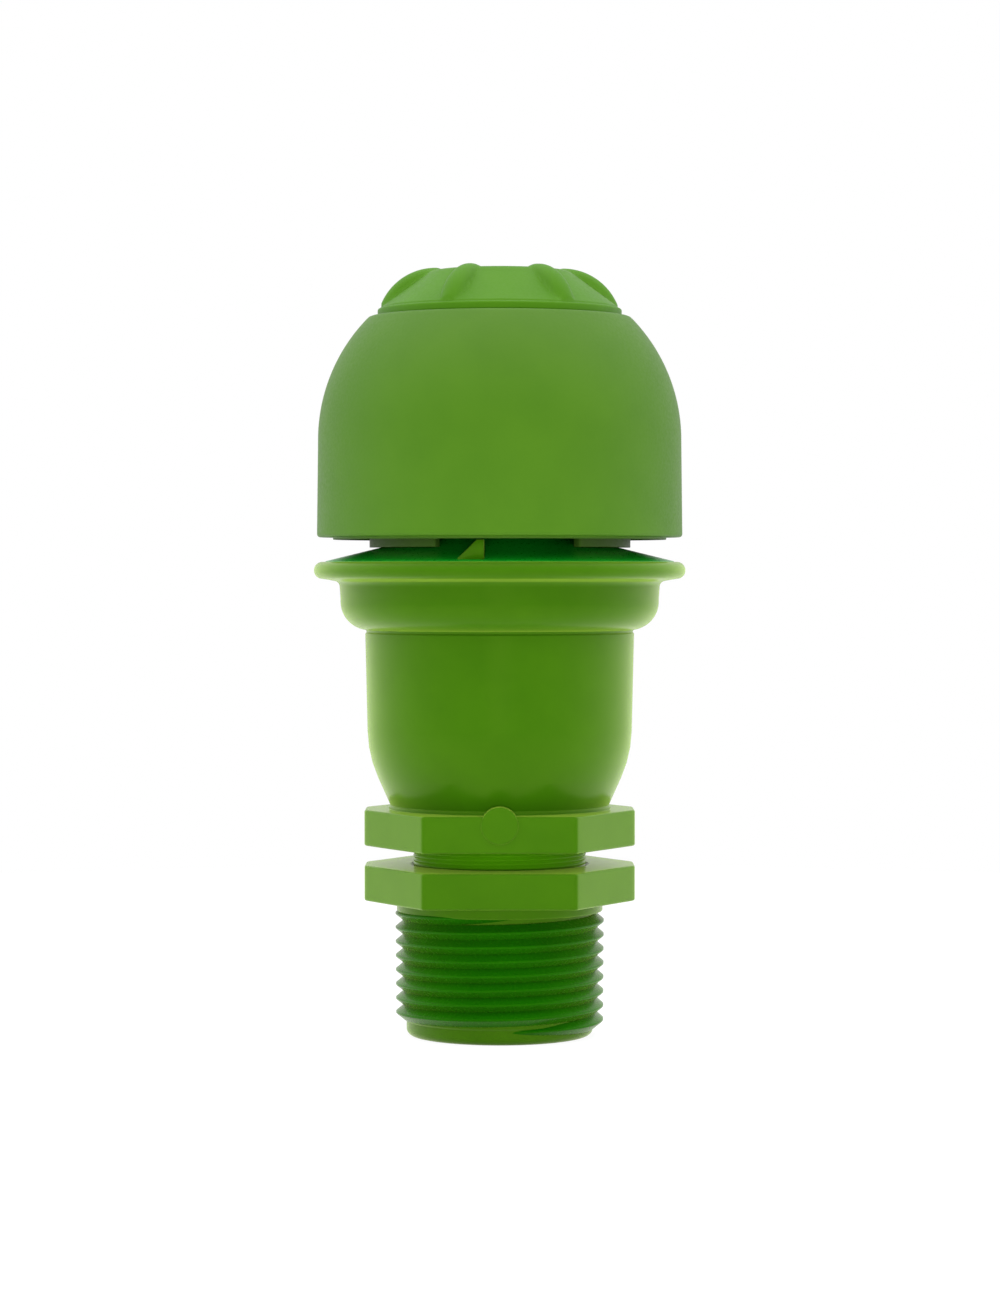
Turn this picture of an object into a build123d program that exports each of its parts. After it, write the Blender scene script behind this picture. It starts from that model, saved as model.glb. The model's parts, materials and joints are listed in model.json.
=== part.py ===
from build123d import *
from math import asin, cos, degrees, radians, sin, sqrt, tan
import os

# Combination air release valve for a 1 inch water line, moulded in plastic.
# The origin is the centre of the inlet end face. +Z runs up the valve, -Y is its front.
# Lengths are in millimetres. A pair (low, high) is two heights, a pair (inner, outer) two radii.

# Gaps: between pieces that slide or screw together, and between faces that only rest on each other
FIT_GAP = 0.05
SEAT_GAP = 0.02
# How far a cut or a joined shape runs past the face that it meets
OVERRUN = 1.0

# Inlet adapter: pipe thread below, hexagon above
BORE_R = 11.0
PILOT_R = 14.6
PILOT_TOP = 2.0
PILOT_CHAMFER = 1.0
PIPE_PITCH = 25.4 / 11.5
THREAD_R = (15.0, 16.2)
THREAD_FIRST = 4.18
THREAD_TURNS = 7
THREAD_LAND = 0.4
THREAD_ROOT_LAND = 0.3
THREAD_TOP = 19.5
COLLAR_R = 16.1
LOWER_HEX_Z = (21.3, 26.8)
HEX_FLATS = 40.5
HEX_CORNER_X = 21.04
HEX_EDGE = 0.15

# Socket joint between the adapter and the body
NECK_R = 13.5
SOCKET_FLOOR = 17.4
GASKET_HEIGHT = 1.6
GASKET_R = (11.3, 13.4)

# Main body: hexagon, barrel, bowl and rim bead
UPPER_HEX_Z = (29.85, 35.45)
BODY_BORE_R = 10.5
STEP_R = 17.3
STEP_TOP = 35.95
BARREL_FOOT = (17.05, 35.95)
BARREL_CONE_TOP = (19.0, 40.3)
BARREL_ARC_MID = (20.05, 43.9)
BARREL_TANGENT = (20.65, 47.6)
BARREL_TOP = (21.0, 62.2)
GROOVE = (20.9, 62.7)
BOWL_FOOT_R = 21.1
BOWL_CENTRE = (20.39, 67.8)
BOWL_ARC_R = 4.46
RIM_ROOT = (25.04, 70.7)
BEAD_CENTRE = (27.65, 72.65)
BEAD_R = 1.33
REBATE_R = 27.25
REBATE_FLOOR = 72.6
SKIRT_BORE_R = 22.65
CHAMBER_FLOOR = 31.8
CHAMBER_LOW_R = 14.9
CHAMBER_CONE = (36.6, 46.0)
CHAMBER_R = 18.5
CHAMBER_TOP = 64.6
SHOULDER_R = 20.6
SHOULDER_TOP = 66.9
BOSS_R = 2.83
BOSS_Z = 34.06
BOSS_PROUD = 0.35
BOSS_LENGTH = 10.0

# Float cage: a foot ring and a head ring joined by four ribs, whose fingers carry the orifice disc
CAGE_GAP = 0.15
CAGE_RIBS = 4
CAGE_RIB_HALF = 0.9
CAGE_FOOT_RISE = 0.9
CAGE_FOOT_R = 11.1
CAGE_FOOT_TOP = 34.0
CAGE_HEAD_R = 15.4
CAGE_HEAD_HEIGHT = 2.4
CAGE_FLOAT_GAP = 0.35
CAGE_DISC_GAP = 0.5
FINGER_R = 12.3
FINGER_HEIGHT = 1.2
FINGER_SLOPE = 2.0

# Cover: cone, skirt, chimney, spider and driving lugs
CONE_EDGE_Z = 74.06
CONE_SLOPE = 13.9
CONE_WALL = 2.2
CONE_ROOT_WALL = 3.2
CONE_ROOT_RUN = 1.2
CONE_ROOT_EXTRA = 0.3
SKIRT_IN_R = 19.8
SKIRT_BOTTOM = 64.95
SKIRT_CONE_TOP = 67.3
SKIRT_FOOT_R = 20.5
O_RING_R = 0.7
O_RING_Z = 69.0
O_RING_GROOVE_DEPTH = 1.45
O_RING_GROOVE_HALF = 0.84
CHIMNEY_R = (9.0, 11.0)
CHIMNEY_Z = (69.0, 96.0)
SPIDER_HUB_R = 5.5
SPIDER_BOTTOM = 91.5
SPIDER_ARMS = 3
SPIDER_ARM_WIDTH = 2.2
SPIDER_ARM_REACH = 9.8
SPIDER_FIRST_AZIMUTH = 30.0
LUG_R = (24.7, 26.3)
LUG_TOP = 77.25
LUG_COUNT = 2
LUG_AZIMUTH = (-14.9, -5.2)
LUG_LAND = 0.5
LUG_SINK = 0.6

# Dome cap and its three legs
DOME_RIM_Z = 77.8
DOME_RIM_R = 28.5
DOME_RIM_EDGE = 0.5
DOME_CENTRE = (1.30, 92.95)
DOME_ARC_R = 27.02
DOME_WALL = 2.0
LIP_R = (25.2, 26.0)
LIP_Z = (77.42, 78.62)
LEDGE_Z = 112.1
LEDGE_R = 20.2
LEDGE_DROP = 0.36
LEG_COUNT = 3
LEG_R = (18.75, 20.4)
LEG_SPAN = 55.0
LEG_BITE = 0.5
FIRST_LEG_AZIMUTH = 63.9
HUB_R = 8.0
HUB_BOTTOM = 102.0

# Stud with its washer and nut, and the bushing that centres the dome on it
STUD_R = 4.0
STUD_Z = (87.0, 116.0)
STUD_CHAMFER = 0.6
FLANGE_R = 6.3
FLANGE_HEIGHT = 1.8
POST_WASHER_R = (4.15, 6.5)
POST_WASHER_HEIGHT = 0.9
NUT_FLATS = 12.8
NUT_HEIGHT = 3.6
NUT_BOTTOM = 96.95
BUSH_R = 5.6

# Knob with its finger ribs, insert and washer
KNOB_BOTTOM = 112.15
KNOB_RING_R = 19.03
KNOB_RING_TOP = 113.35
KNOB_RING_EDGE = 0.3
KNOB_SKIRT = (18.45, 113.6)
KNOB_TOP = (10.8, 119.25)
KNOB_TOP_EDGE = (0.5, 0.15)
KNOB_WALL_R = 16.2
KNOB_HUB_R = 8.1
KNOB_CAVITY_TOP = (10.2, 116.65)
KNOB_CAVITY_STEP = 1.0
RIB_COUNT = 6
RIB_FIRST_AZIMUTH = -25.5
RIB_ARC_CENTRE = (10.0, 110.55)
RIB_CREST_R = 9.2
RIB_ROUND_R = 1.9
RIB_SPAN = (12, 90)
INSERT_R = 5.8
INSERT_Z = (113.4, 116.3)
INSERT_POCKET_TOP = 116.4
KNOB_WASHER_R = 7.4
KNOB_WASHER_TOP = 113.3
KNOB_WASHER_POCKET = (7.5, 113.35)
KNOB_PITCH = 1.25
KNOB_TURNS = 3

# Orifice disc with its soft ring, brass nozzle and the link that carries the float
DISC_LIFT = 9.0
DISC_R = 13.0
DISC_Z = (56.0, 59.3)
SEAT_RING_R = (8.6, 11.8)
SEAT_RING_DEPTH = 1.5
SEAT_RING_GAP = 0.03
LINK_R = (6.2, 7.6)
LINK_BOTTOM = 50.5
LINK_ROOF = 57.4
LINK_WINDOW = (5.0, 2.6)
LINK_WINDOW_RISE = 1.6
LINK_RING_R = 3.9
LINK_RING_Z = (50.6, 51.6)
NOZZLE_R = 3.0
NOZZLE_HOLE_R = 0.7
NOZZLE_COLLAR_R = 3.4
NOZZLE_FACE = 56.6
NOZZLE_PROUD = 0.4

# Float, its stem and the rubber strip that closes the nozzle
FLOAT_LIFT = 2.5
FLOAT_R = 14.2
FLOAT_NECK_R = 11.2
FLOAT_Z = (34.6, 40.9)
FLOAT_NECK_Z = 42.7
FLOAT_INNER_CONE_Z = (40.4, 42.9)
FLOAT_TOP = 47.6
FLOAT_WALL = 1.1
FLOAT_FOOT_EDGE = 1.6
LID_HEIGHT = 1.2
LID_PLUG = 2.4
STEM_POCKET = 1.0
STEM_R = 3.3
STEM_HEAD_R = 5.4
STEM_HEAD_Z = 51.8
SEAL_ANGLE = 8.0
SEAL_SIZE = (9.4, 4.0, 1.2)
SEAL_TOP = NOZZLE_FACE - FLOAT_LIFT - FIT_GAP
HEAD_TOP = SEAL_TOP - SEAL_SIZE[2] / cos(radians(SEAL_ANGLE)) - 0.01
CLIP_X = 4.4
CLIP_WIDTH = 0.9
CLIP_SPAN = 5.0
CLIP_WIRE = 0.4
CLIP_LEG_Y = 2.28
CLIP_LEG_WALL = 0.44


def revolved(points):
    """Solid of revolution about Z from straight-sided (r, z) points."""
    face = make_face(Plane.XZ * Polyline(*points, close=True))
    return revolve(face, Axis.Z)


def turned(edges):
    """Solid of revolution about Z from a closed chain of lines and arcs in (r, z)."""
    return revolve(make_face([Plane.XZ * edge for edge in edges]), Axis.Z)


def chain(*points):
    """Lines from each (r, z) point to the next."""
    return [Line(start, end) for start, end in zip(points, points[1:])]


def ring(inner, outer, low, high):
    """Plain ring with a rectangular section."""
    return revolved([(inner, low), (outer, low), (outer, high), (inner, high)])


def disc(radius, low, high):
    """Plain round plate or rod."""
    return Pos(0, 0, low) * Cylinder(radius, high - low, align=(Align.CENTER, Align.CENTER, Align.MIN))


def on_circle(centre, radius, angle):
    """Point (r, z) on a circle, at an angle above the horizontal."""
    return (centre[0] + radius * cos(radians(angle)), centre[1] + radius * sin(radians(angle)))


def hexagon(low, high):
    """Hexagon plate, flats to the front and back, with its two side corners cut flat."""
    outline = RegularPolygon(HEX_FLATS / 2, 6, major_radius=False)
    outline &= Rectangle(2 * HEX_CORNER_X, 2 * HEX_FLATS)
    plate = Pos(0, 0, low) * extrude(outline, high - low)
    outer = plate.edges().filter_by(lambda edge: edge.length > 1)
    return chamfer(outer.filter_by(Plane.XY), HEX_EDGE)


def cone_height(radius):
    """Height of the cover's outer cone at a radius."""
    return CONE_EDGE_Z + (REBATE_R - radius) * tan(radians(CONE_SLOPE))


def thread_outline():
    """Outline of the thread as turned ridges, one for each turn, from the pilot to the collar."""
    root, crest = THREAD_R
    half_land = THREAD_LAND / 2
    half_foot = (PIPE_PITCH - THREAD_ROOT_LAND) / 2
    points = [(root, PILOT_TOP + root - PILOT_R)]
    for turn in range(THREAD_TURNS):
        middle = THREAD_FIRST + turn * PIPE_PITCH
        points += [(root, middle - half_foot), (crest, middle - half_land),
                   (crest, middle + half_land), (root, middle + half_foot)]
    return points + [(root, THREAD_TOP)]


def inlet_adapter():
    """Threaded nipple with a hexagon and the socket that takes the body's neck."""
    low, high = LOWER_HEX_Z
    nipple = revolved([
        (0, 0), (PILOT_R - PILOT_CHAMFER, 0), (PILOT_R, PILOT_CHAMFER), (PILOT_R, PILOT_TOP),
        *thread_outline(), (COLLAR_R, THREAD_TOP), (COLLAR_R, low + OVERRUN), (0, low + OVERRUN),
    ])
    body = nipple + hexagon(low, high)
    body -= disc(BORE_R, -OVERRUN, SOCKET_FLOOR + OVERRUN)
    return body - disc(NECK_R + FIT_GAP, SOCKET_FLOOR, high + OVERRUN)


def adapter_gasket():
    """Flat rubber gasket on the socket's floor."""
    return ring(*GASKET_R, SOCKET_FLOOR, SOCKET_FLOOR + GASKET_HEIGHT)


def barrel_outline():
    """Outer outline of the barrel, bowl and rim bead, from the hexagon up to the bead's top."""
    foot_drop = sqrt(BOWL_ARC_R ** 2 - (BOWL_FOOT_R - BOWL_CENTRE[0]) ** 2)
    bowl_foot = (BOWL_FOOT_R, BOWL_CENTRE[1] - foot_drop)
    bowl_side = on_circle(BOWL_CENTRE, BOWL_ARC_R, 0)
    bead_low, bead_out, bead_top = (on_circle(BEAD_CENTRE, BEAD_R, angle) for angle in (-90, 0, 90))
    return [
        Line(BARREL_FOOT, BARREL_CONE_TOP),
        ThreePointArc(BARREL_CONE_TOP, BARREL_ARC_MID, BARREL_TANGENT),
        *chain(BARREL_TANGENT, BARREL_TOP, GROOVE, bowl_foot),
        ThreePointArc(bowl_foot, on_circle(BOWL_CENTRE, BOWL_ARC_R, -35), bowl_side),
        *chain(bowl_side, RIM_ROOT, bead_low),
        ThreePointArc(bead_low, bead_out, bead_top),
    ]


def round_boss():
    """Plain round boss on the upper hexagon's front flat."""
    boss = Cylinder(BOSS_R, BOSS_LENGTH, rotation=(90, 0, 0), align=(Align.CENTER, Align.CENTER, Align.MIN))
    return Pos(0, BOSS_LENGTH - HEX_FLATS / 2 - BOSS_PROUD, BOSS_Z) * boss


def main_body():
    """Neck, hexagon, barrel, bowl and bead in one moulding, hollow from end to end."""
    hex_low, hex_high = UPPER_HEX_Z
    bead_top = on_circle(BEAD_CENTRE, BEAD_R, 90)
    above = bead_top[1] + OVERRUN
    body = turned(barrel_outline() + chain(bead_top, (0, bead_top[1]), (0, BARREL_FOOT[1]), BARREL_FOOT))
    body += hexagon(hex_low, hex_high)
    body += disc(STEP_R, hex_high - OVERRUN, STEP_TOP)
    body += disc(NECK_R, SOCKET_FLOOR + GASKET_HEIGHT, hex_low + OVERRUN)
    body += round_boss()
    hollow = revolved([
        (0, 0), (BODY_BORE_R, 0), (BODY_BORE_R, CHAMBER_FLOOR), (CHAMBER_LOW_R, CHAMBER_FLOOR),
        (CHAMBER_LOW_R, CHAMBER_CONE[0]), (CHAMBER_R, CHAMBER_CONE[1]), (CHAMBER_R, CHAMBER_TOP),
        (SHOULDER_R, CHAMBER_TOP), (SKIRT_BORE_R, SHOULDER_TOP), (SKIRT_BORE_R, REBATE_FLOOR),
        (REBATE_R, REBATE_FLOOR), (REBATE_R, above), (0, above),
    ])
    return body - hollow


def float_cage():
    """Cage that guides the float and carries the orifice disc when the valve is open."""
    low_wall, high_wall = CHAMBER_LOW_R - CAGE_GAP, CHAMBER_R - CAGE_GAP
    rib_foot = CHAMBER_FLOOR + CAGE_FOOT_RISE
    float_side = FLOAT_R + CAGE_FLOAT_GAP
    disc_side = DISC_R + CAGE_DISC_GAP
    seat = DISC_Z[0] - SEAT_GAP
    finger_foot = DISC_Z[0] - FINGER_HEIGHT
    rib = make_face(Plane.XZ * Polyline(
        (float_side, rib_foot), (low_wall, rib_foot), (low_wall, CHAMBER_CONE[0]),
        (high_wall, CHAMBER_CONE[1]), (high_wall, CHAMBER_TOP), (disc_side, CHAMBER_TOP),
        (disc_side, seat), (FINGER_R, seat), (FINGER_R, finger_foot),
        (float_side, finger_foot - FINGER_SLOPE), close=True))
    blade = extrude(rib, CAGE_RIB_HALF, both=True)
    cage = ring(CAGE_FOOT_R, low_wall, CHAMBER_FLOOR + SEAT_GAP, CAGE_FOOT_TOP)
    cage += ring(CAGE_HEAD_R, high_wall, CHAMBER_TOP - CAGE_HEAD_HEIGHT, CHAMBER_TOP)
    for index in range(CAGE_RIBS):
        cage += Rot(0, 0, (index + 0.5) * 360 / CAGE_RIBS) * blade
    return cage


def driving_lug(index):
    """Ramp-shaped lug on the cone: a ring spanner pushes its steep face and slides over the ramp."""
    start, end = (azimuth - 90 + 360 / LUG_COUNT * index for azimuth in LUG_AZIMUTH)
    inner, outer = LUG_R
    foot = cone_height(outer) - LUG_SINK
    middle = (inner + outer) / 2
    width = middle * radians(end - start)
    profile = make_face(Polyline(
        (0, foot), (width, foot), (width, LUG_TOP), (width - LUG_LAND, LUG_TOP), close=True))
    wedge = Pos(-width / 2, 0, 0) * extrude(Plane.XZ * profile, (outer - inner) / 2, both=True)
    return Rot(0, 0, (start + end) / 2) * Pos(middle, 0, 0) * Rot(0, 0, 90) * wedge


def cover():
    """Cone-shaped cover with its skirt, the air chimney and the three-armed spider."""
    edge_r = REBATE_R - FIT_GAP
    skirt_r = SKIRT_BORE_R - FIT_GAP
    bore_r, root_r = CHIMNEY_R
    low, high = CHIMNEY_Z
    shell = revolved([
        (bore_r, low), (root_r, low), (root_r, cone_height(root_r) - CONE_ROOT_WALL),
        (root_r + CONE_ROOT_RUN, cone_height(root_r) - CONE_WALL - CONE_ROOT_EXTRA),
        (SKIRT_IN_R, cone_height(SKIRT_IN_R) - CONE_WALL), (SKIRT_IN_R, SKIRT_BOTTOM),
        (SKIRT_FOOT_R, SKIRT_BOTTOM), (skirt_r, SKIRT_CONE_TOP), (skirt_r, REBATE_FLOOR + SEAT_GAP),
        (edge_r, REBATE_FLOOR + SEAT_GAP), (edge_r, cone_height(edge_r)),
        (root_r, cone_height(root_r)), (root_r, high), (bore_r, high),
    ])
    shell -= ring(SKIRT_BORE_R - O_RING_GROOVE_DEPTH, skirt_r + OVERRUN,
                  O_RING_Z - O_RING_GROOVE_HALF, O_RING_Z + O_RING_GROOVE_HALF)
    arm = Pos(0, 0, SPIDER_BOTTOM) * Box(SPIDER_ARM_REACH, SPIDER_ARM_WIDTH, high - SPIDER_BOTTOM,
                                         align=(Align.MIN, Align.CENTER, Align.MIN))
    spider = disc(SPIDER_HUB_R, SPIDER_BOTTOM, high)
    for index in range(SPIDER_ARMS):
        spider += Rot(0, 0, SPIDER_FIRST_AZIMUTH + 360 / SPIDER_ARMS * index) * arm
    shell += spider
    shell -= disc(STUD_R + FIT_GAP, SPIDER_BOTTOM - OVERRUN, high + OVERRUN)
    for index in range(LUG_COUNT):
        shell += driving_lug(index)
    return shell


def cover_o_ring():
    """Rubber ring in the skirt's groove."""
    return Pos(0, 0, O_RING_Z) * Torus(SKIRT_BORE_R - O_RING_R - SEAT_GAP, O_RING_R)


def centre_post():
    """Steel stud with a flange under the spider and the knob's thread at its top."""
    post = disc(STUD_R, *STUD_Z)
    post = chamfer(post.edges().group_by(Axis.Z)[-1], STUD_CHAMFER)
    flange_top = SPIDER_BOTTOM - SEAT_GAP
    return post + disc(FLANGE_R, flange_top - FLANGE_HEIGHT, flange_top)


def post_washer():
    """Flat washer between the spider and its nut."""
    low = CHIMNEY_Z[1] + SEAT_GAP
    return ring(*POST_WASHER_R, low, low + POST_WASHER_HEIGHT)


def post_nut():
    """Hexagon nut that clamps the stud to the spider."""
    nut = Pos(0, 0, NUT_BOTTOM) * extrude(RegularPolygon(NUT_FLATS / 2, 6, major_radius=False), NUT_HEIGHT)
    return nut - disc(STUD_R + FIT_GAP, NUT_BOTTOM - OVERRUN, NUT_BOTTOM + NUT_HEIGHT + OVERRUN)


def dome_shell():
    """Thin bell: near-upright wall with a drip lip inside its rim, round shoulder and flat crown."""
    crown_angle = degrees(asin((LEDGE_Z - LEDGE_DROP - DOME_CENTRE[1]) / DOME_ARC_R))
    inner_crown = LEDGE_Z - DOME_WALL
    inner_arc_r = DOME_ARC_R - DOME_WALL
    inner_angle = degrees(asin((inner_crown - DOME_CENTRE[1]) / inner_arc_r))
    outer_arc = [on_circle(DOME_CENTRE, DOME_ARC_R, angle) for angle in (0, crown_angle / 2, crown_angle)]
    inner_arc = [on_circle(DOME_CENTRE, inner_arc_r, angle) for angle in (inner_angle, inner_angle / 2, 0)]
    lip_in, lip_out = LIP_R
    lip_low, lip_high = LIP_Z
    wall_in = DOME_RIM_R - DOME_WALL
    rim_centre = (DOME_RIM_R - DOME_RIM_EDGE, DOME_RIM_Z + DOME_RIM_EDGE)
    rim_low, rim_middle, rim_side = (on_circle(rim_centre, DOME_RIM_EDGE, angle) for angle in (-90, -45, 0))
    return turned([
        Line((lip_out, DOME_RIM_Z), rim_low),
        ThreePointArc(rim_low, rim_middle, rim_side),
        Line(rim_side, outer_arc[0]),
        ThreePointArc(*outer_arc),
        *chain(outer_arc[-1], (LEDGE_R, LEDGE_Z), (0, LEDGE_Z), (0, inner_crown), inner_arc[0]),
        ThreePointArc(*inner_arc),
        *chain(inner_arc[-1], (wall_in, lip_high + wall_in - lip_in), (lip_in, lip_high), (lip_in, lip_low),
               (lip_out, lip_low), (lip_out, DOME_RIM_Z)),
    ])


def dome_cap():
    """Rain and splash dome. Its three curved legs have flat feet whose inner edges stand on the cone."""
    dome = dome_shell() + disc(HUB_R, HUB_BOTTOM, LEDGE_Z - OVERRUN)
    crown = LEDGE_Z - DOME_WALL + LEG_BITE
    inner, outer = LEG_R
    foot = cone_height(inner) + SEAT_GAP
    leg_face = make_face(Plane.XZ * Polyline(
        (inner, foot), (outer, foot), (outer, crown), (inner, crown), close=True))
    leg = revolve(leg_face, Axis.Z, LEG_SPAN)
    for index in range(LEG_COUNT):
        middle = FIRST_LEG_AZIMUTH - 90 + 360 / LEG_COUNT * index
        dome += Rot(0, 0, middle - LEG_SPAN / 2) * leg
    return dome - disc(BUSH_R, HUB_BOTTOM - OVERRUN, LEDGE_Z + OVERRUN)


def dome_bushing():
    """Sleeve that lines the dome's centre hole."""
    return ring(STUD_R + FIT_GAP, BUSH_R, HUB_BOTTOM, LEDGE_Z)


def knob_rib():
    """One round finger rib that curves over the knob's shoulder and is cut off level at its underside."""
    reach = RIB_CREST_R - RIB_ROUND_R
    centre = Vector(RIB_ARC_CENTRE[0], 0, RIB_ARC_CENTRE[1])
    path = Edge.make_circle(reach, Plane(centre, x_dir=(1, 0, 0), z_dir=(0, -1, 0)), *RIB_SPAN)
    section = Plane(path @ 0, z_dir=path % 0) * Circle(RIB_ROUND_R)
    top = Pos(RIB_ARC_CENTRE[0], 0, RIB_ARC_CENTRE[1] + reach) * Sphere(RIB_ROUND_R)
    below = disc(2 * KNOB_RING_R, KNOB_BOTTOM - RIB_CREST_R, KNOB_BOTTOM)
    return sweep(section, path) + top - below


def knob():
    """Hand knob with six finger ribs, hollow underneath round a thick hub."""
    edge = KNOB_RING_EDGE
    top_run, top_drop = KNOB_TOP_EDGE
    solid = revolved([
        (0, KNOB_BOTTOM), (KNOB_RING_R, KNOB_BOTTOM), (KNOB_RING_R, KNOB_RING_TOP - edge),
        (KNOB_RING_R - edge, KNOB_RING_TOP), (KNOB_SKIRT[0], KNOB_RING_TOP), KNOB_SKIRT,
        (KNOB_TOP[0], KNOB_TOP[1] - top_drop), (KNOB_TOP[0] - top_run, KNOB_TOP[1]), (0, KNOB_TOP[1]),
    ])
    rib = knob_rib()
    for index in range(RIB_COUNT):
        solid += Rot(0, 0, RIB_FIRST_AZIMUTH - 90 + index * 360 / RIB_COUNT) * rib
    below = KNOB_BOTTOM - OVERRUN
    solid -= revolved([
        (KNOB_HUB_R, below), (KNOB_WALL_R, below), (KNOB_WALL_R, KNOB_BOTTOM + KNOB_CAVITY_STEP),
        KNOB_CAVITY_TOP, (KNOB_HUB_R, KNOB_CAVITY_TOP[1]),
    ])
    solid -= disc(INSERT_R, below, INSERT_POCKET_TOP)
    return solid - disc(KNOB_WASHER_POCKET[0], below, KNOB_WASHER_POCKET[1])


def knob_insert():
    """Brass threaded insert moulded into the knob."""
    return ring(STUD_R + FIT_GAP, INSERT_R, *INSERT_Z)


def knob_washer():
    """Washer that travels with the knob and rubs on the dome instead of it."""
    return ring(STUD_R + FIT_GAP, KNOB_WASHER_R, LEDGE_Z + SEAT_GAP, KNOB_WASHER_TOP)


def seal_plane(height):
    """Plane of the slanting nozzle face, at a height on the axis."""
    slant = radians(SEAL_ANGLE)
    return Plane((0, 0, height), x_dir=(cos(slant), 0, sin(slant)), z_dir=(-sin(slant), 0, cos(slant)))


def half_space(height, side):
    """Large block on one side of the slanting plane: Align.MIN is above it, Align.MAX below it."""
    size = 3 * DISC_R
    return seal_plane(height) * Box(size, size, size, align=(Align.CENTER, Align.CENTER, side))


def orifice_disc():
    """Disc that closes the chimney, with the nozzle's hole and the float's link under it."""
    low, high = DISC_Z
    link_in, link_out = LINK_R
    window_width, window_height = LINK_WINDOW
    body = disc(DISC_R, low, high) + disc(link_out, LINK_BOTTOM, low + OVERRUN)
    body -= disc(link_in, LINK_BOTTOM - OVERRUN, LINK_ROOF)
    body -= disc(NOZZLE_R, low, high + OVERRUN)
    body -= ring(*SEAT_RING_R, high - SEAT_RING_DEPTH, high + OVERRUN)
    window = Pos(0, 0, LINK_BOTTOM + LINK_WINDOW_RISE) * Box(
        3 * link_out, window_width, window_height, align=(Align.CENTER, Align.CENTER, Align.MIN))
    for side in (0, 90):
        body -= Rot(0, 0, side) * window
    return body


def disc_seal_ring():
    """Soft ring in the disc's face that meets the chimney's lip."""
    inner, outer = SEAT_RING_R
    top = CHIMNEY_Z[0] - DISC_LIFT - SEAT_RING_GAP
    return ring(inner + SEAT_GAP, outer - SEAT_GAP, DISC_Z[1] - SEAT_RING_DEPTH + SEAT_GAP, top)


def small_nozzle():
    """Brass nozzle for the small orifice, with a slanting lower face."""
    low = NOZZLE_FACE - 2 * OVERRUN
    top = DISC_Z[1] + NOZZLE_PROUD
    body = disc(NOZZLE_R - SEAT_GAP, low, top) + disc(NOZZLE_COLLAR_R, low, LINK_ROOF - SEAT_GAP)
    body -= half_space(NOZZLE_FACE, Align.MAX)
    return body - disc(NOZZLE_HOLE_R, low, top + OVERRUN)


def link_ring():
    """Snap ring that keeps the float's stem in the disc's link."""
    return ring(LINK_RING_R, LINK_R[0] - SEAT_GAP, *LINK_RING_Z)


def float_body():
    """Bottle-shaped hollow float, open at its mouth."""
    low, shoulder = FLOAT_Z
    cone_foot, cone_top = FLOAT_INNER_CONE_Z
    mouth = FLOAT_TOP - LID_HEIGHT
    neck_in = FLOAT_NECK_R - FLOAT_WALL
    side_in = FLOAT_R - FLOAT_WALL
    floor = low + FLOAT_WALL
    edge = FLOAT_FOOT_EDGE
    return revolved([
        (0, low), (FLOAT_R - edge, low), (FLOAT_R, low + edge), (FLOAT_R, shoulder),
        (FLOAT_NECK_R, FLOAT_NECK_Z), (FLOAT_NECK_R, mouth), (neck_in, mouth),
        (neck_in, cone_top), (side_in, cone_foot), (side_in, floor + FLOAT_WALL),
        (side_in - FLOAT_WALL, floor), (0, floor),
    ])


def float_lid():
    """Lid welded on the float's mouth, with a pocket for the stem's foot."""
    plug_r = FLOAT_NECK_R - FLOAT_WALL - SEAT_GAP
    lid = disc(FLOAT_NECK_R, FLOAT_TOP - LID_HEIGHT + SEAT_GAP, FLOAT_TOP)
    lid += disc(plug_r, FLOAT_TOP - LID_PLUG, FLOAT_TOP - STEM_POCKET)
    return lid - disc(STEM_R - SEAT_GAP, FLOAT_TOP - STEM_POCKET, FLOAT_TOP + OVERRUN)


def float_stem():
    """Stem whose head slides in the disc's link and carries the rubber strip on a slanting top."""
    stem = disc(STEM_R - 2 * SEAT_GAP, FLOAT_TOP - STEM_POCKET + SEAT_GAP, STEM_HEAD_Z + OVERRUN / 2)
    head = disc(STEM_HEAD_R, STEM_HEAD_Z, HEAD_TOP + 3 * OVERRUN)
    return stem + (head - half_space(HEAD_TOP, Align.MIN))


def peel_seal():
    """Rubber strip that lies along the nozzle's slanting face and peels off as the float drops."""
    length, width, height = SEAL_SIZE
    strip = Box(length, width, height, align=(Align.CENTER, Align.CENTER, Align.MAX))
    return seal_plane(SEAL_TOP) * strip


def seal_clip():
    """Thin steel staple that holds one end of the strip on the stem's head."""
    seal_height = SEAL_SIZE[2]
    clip = Pos(-CLIP_X, 0, SEAT_GAP) * Box(
        CLIP_WIDTH, CLIP_SPAN, CLIP_WIRE, align=(Align.CENTER, Align.CENTER, Align.MIN))
    for side in (-1, 1):
        clip += Pos(-CLIP_X, side * CLIP_LEG_Y, -seal_height) * Box(
            CLIP_WIDTH, CLIP_LEG_WALL, seal_height + CLIP_WIRE + SEAT_GAP,
            align=(Align.CENTER, Align.CENTER, Align.MIN))
    return seal_plane(SEAL_TOP) * clip


NODES = [
    inlet_adapter, adapter_gasket, main_body, float_cage, cover, cover_o_ring, centre_post, post_washer,
    post_nut, dome_cap, dome_bushing, knob, knob_insert, knob_washer, orifice_disc, disc_seal_ring,
    small_nozzle, link_ring, float_body, float_lid, float_stem, peel_seal, seal_clip,
]

os.makedirs("parts", exist_ok=True)
for make_node in NODES:
    export_step(make_node(), "parts/" + make_node.__name__ + ".step")
print("knob rise over its range:", KNOB_PITCH * KNOB_TURNS, "mm")
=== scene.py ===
# %% [markdown]
# A plastic air release valve, dressed for its portrait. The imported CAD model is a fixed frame:
# it says where every piece sits and what moves. This file only gives the visible pieces their
# fine form (soft moulded edges, a real pipe thread, finger ribs) and their finish.

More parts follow.
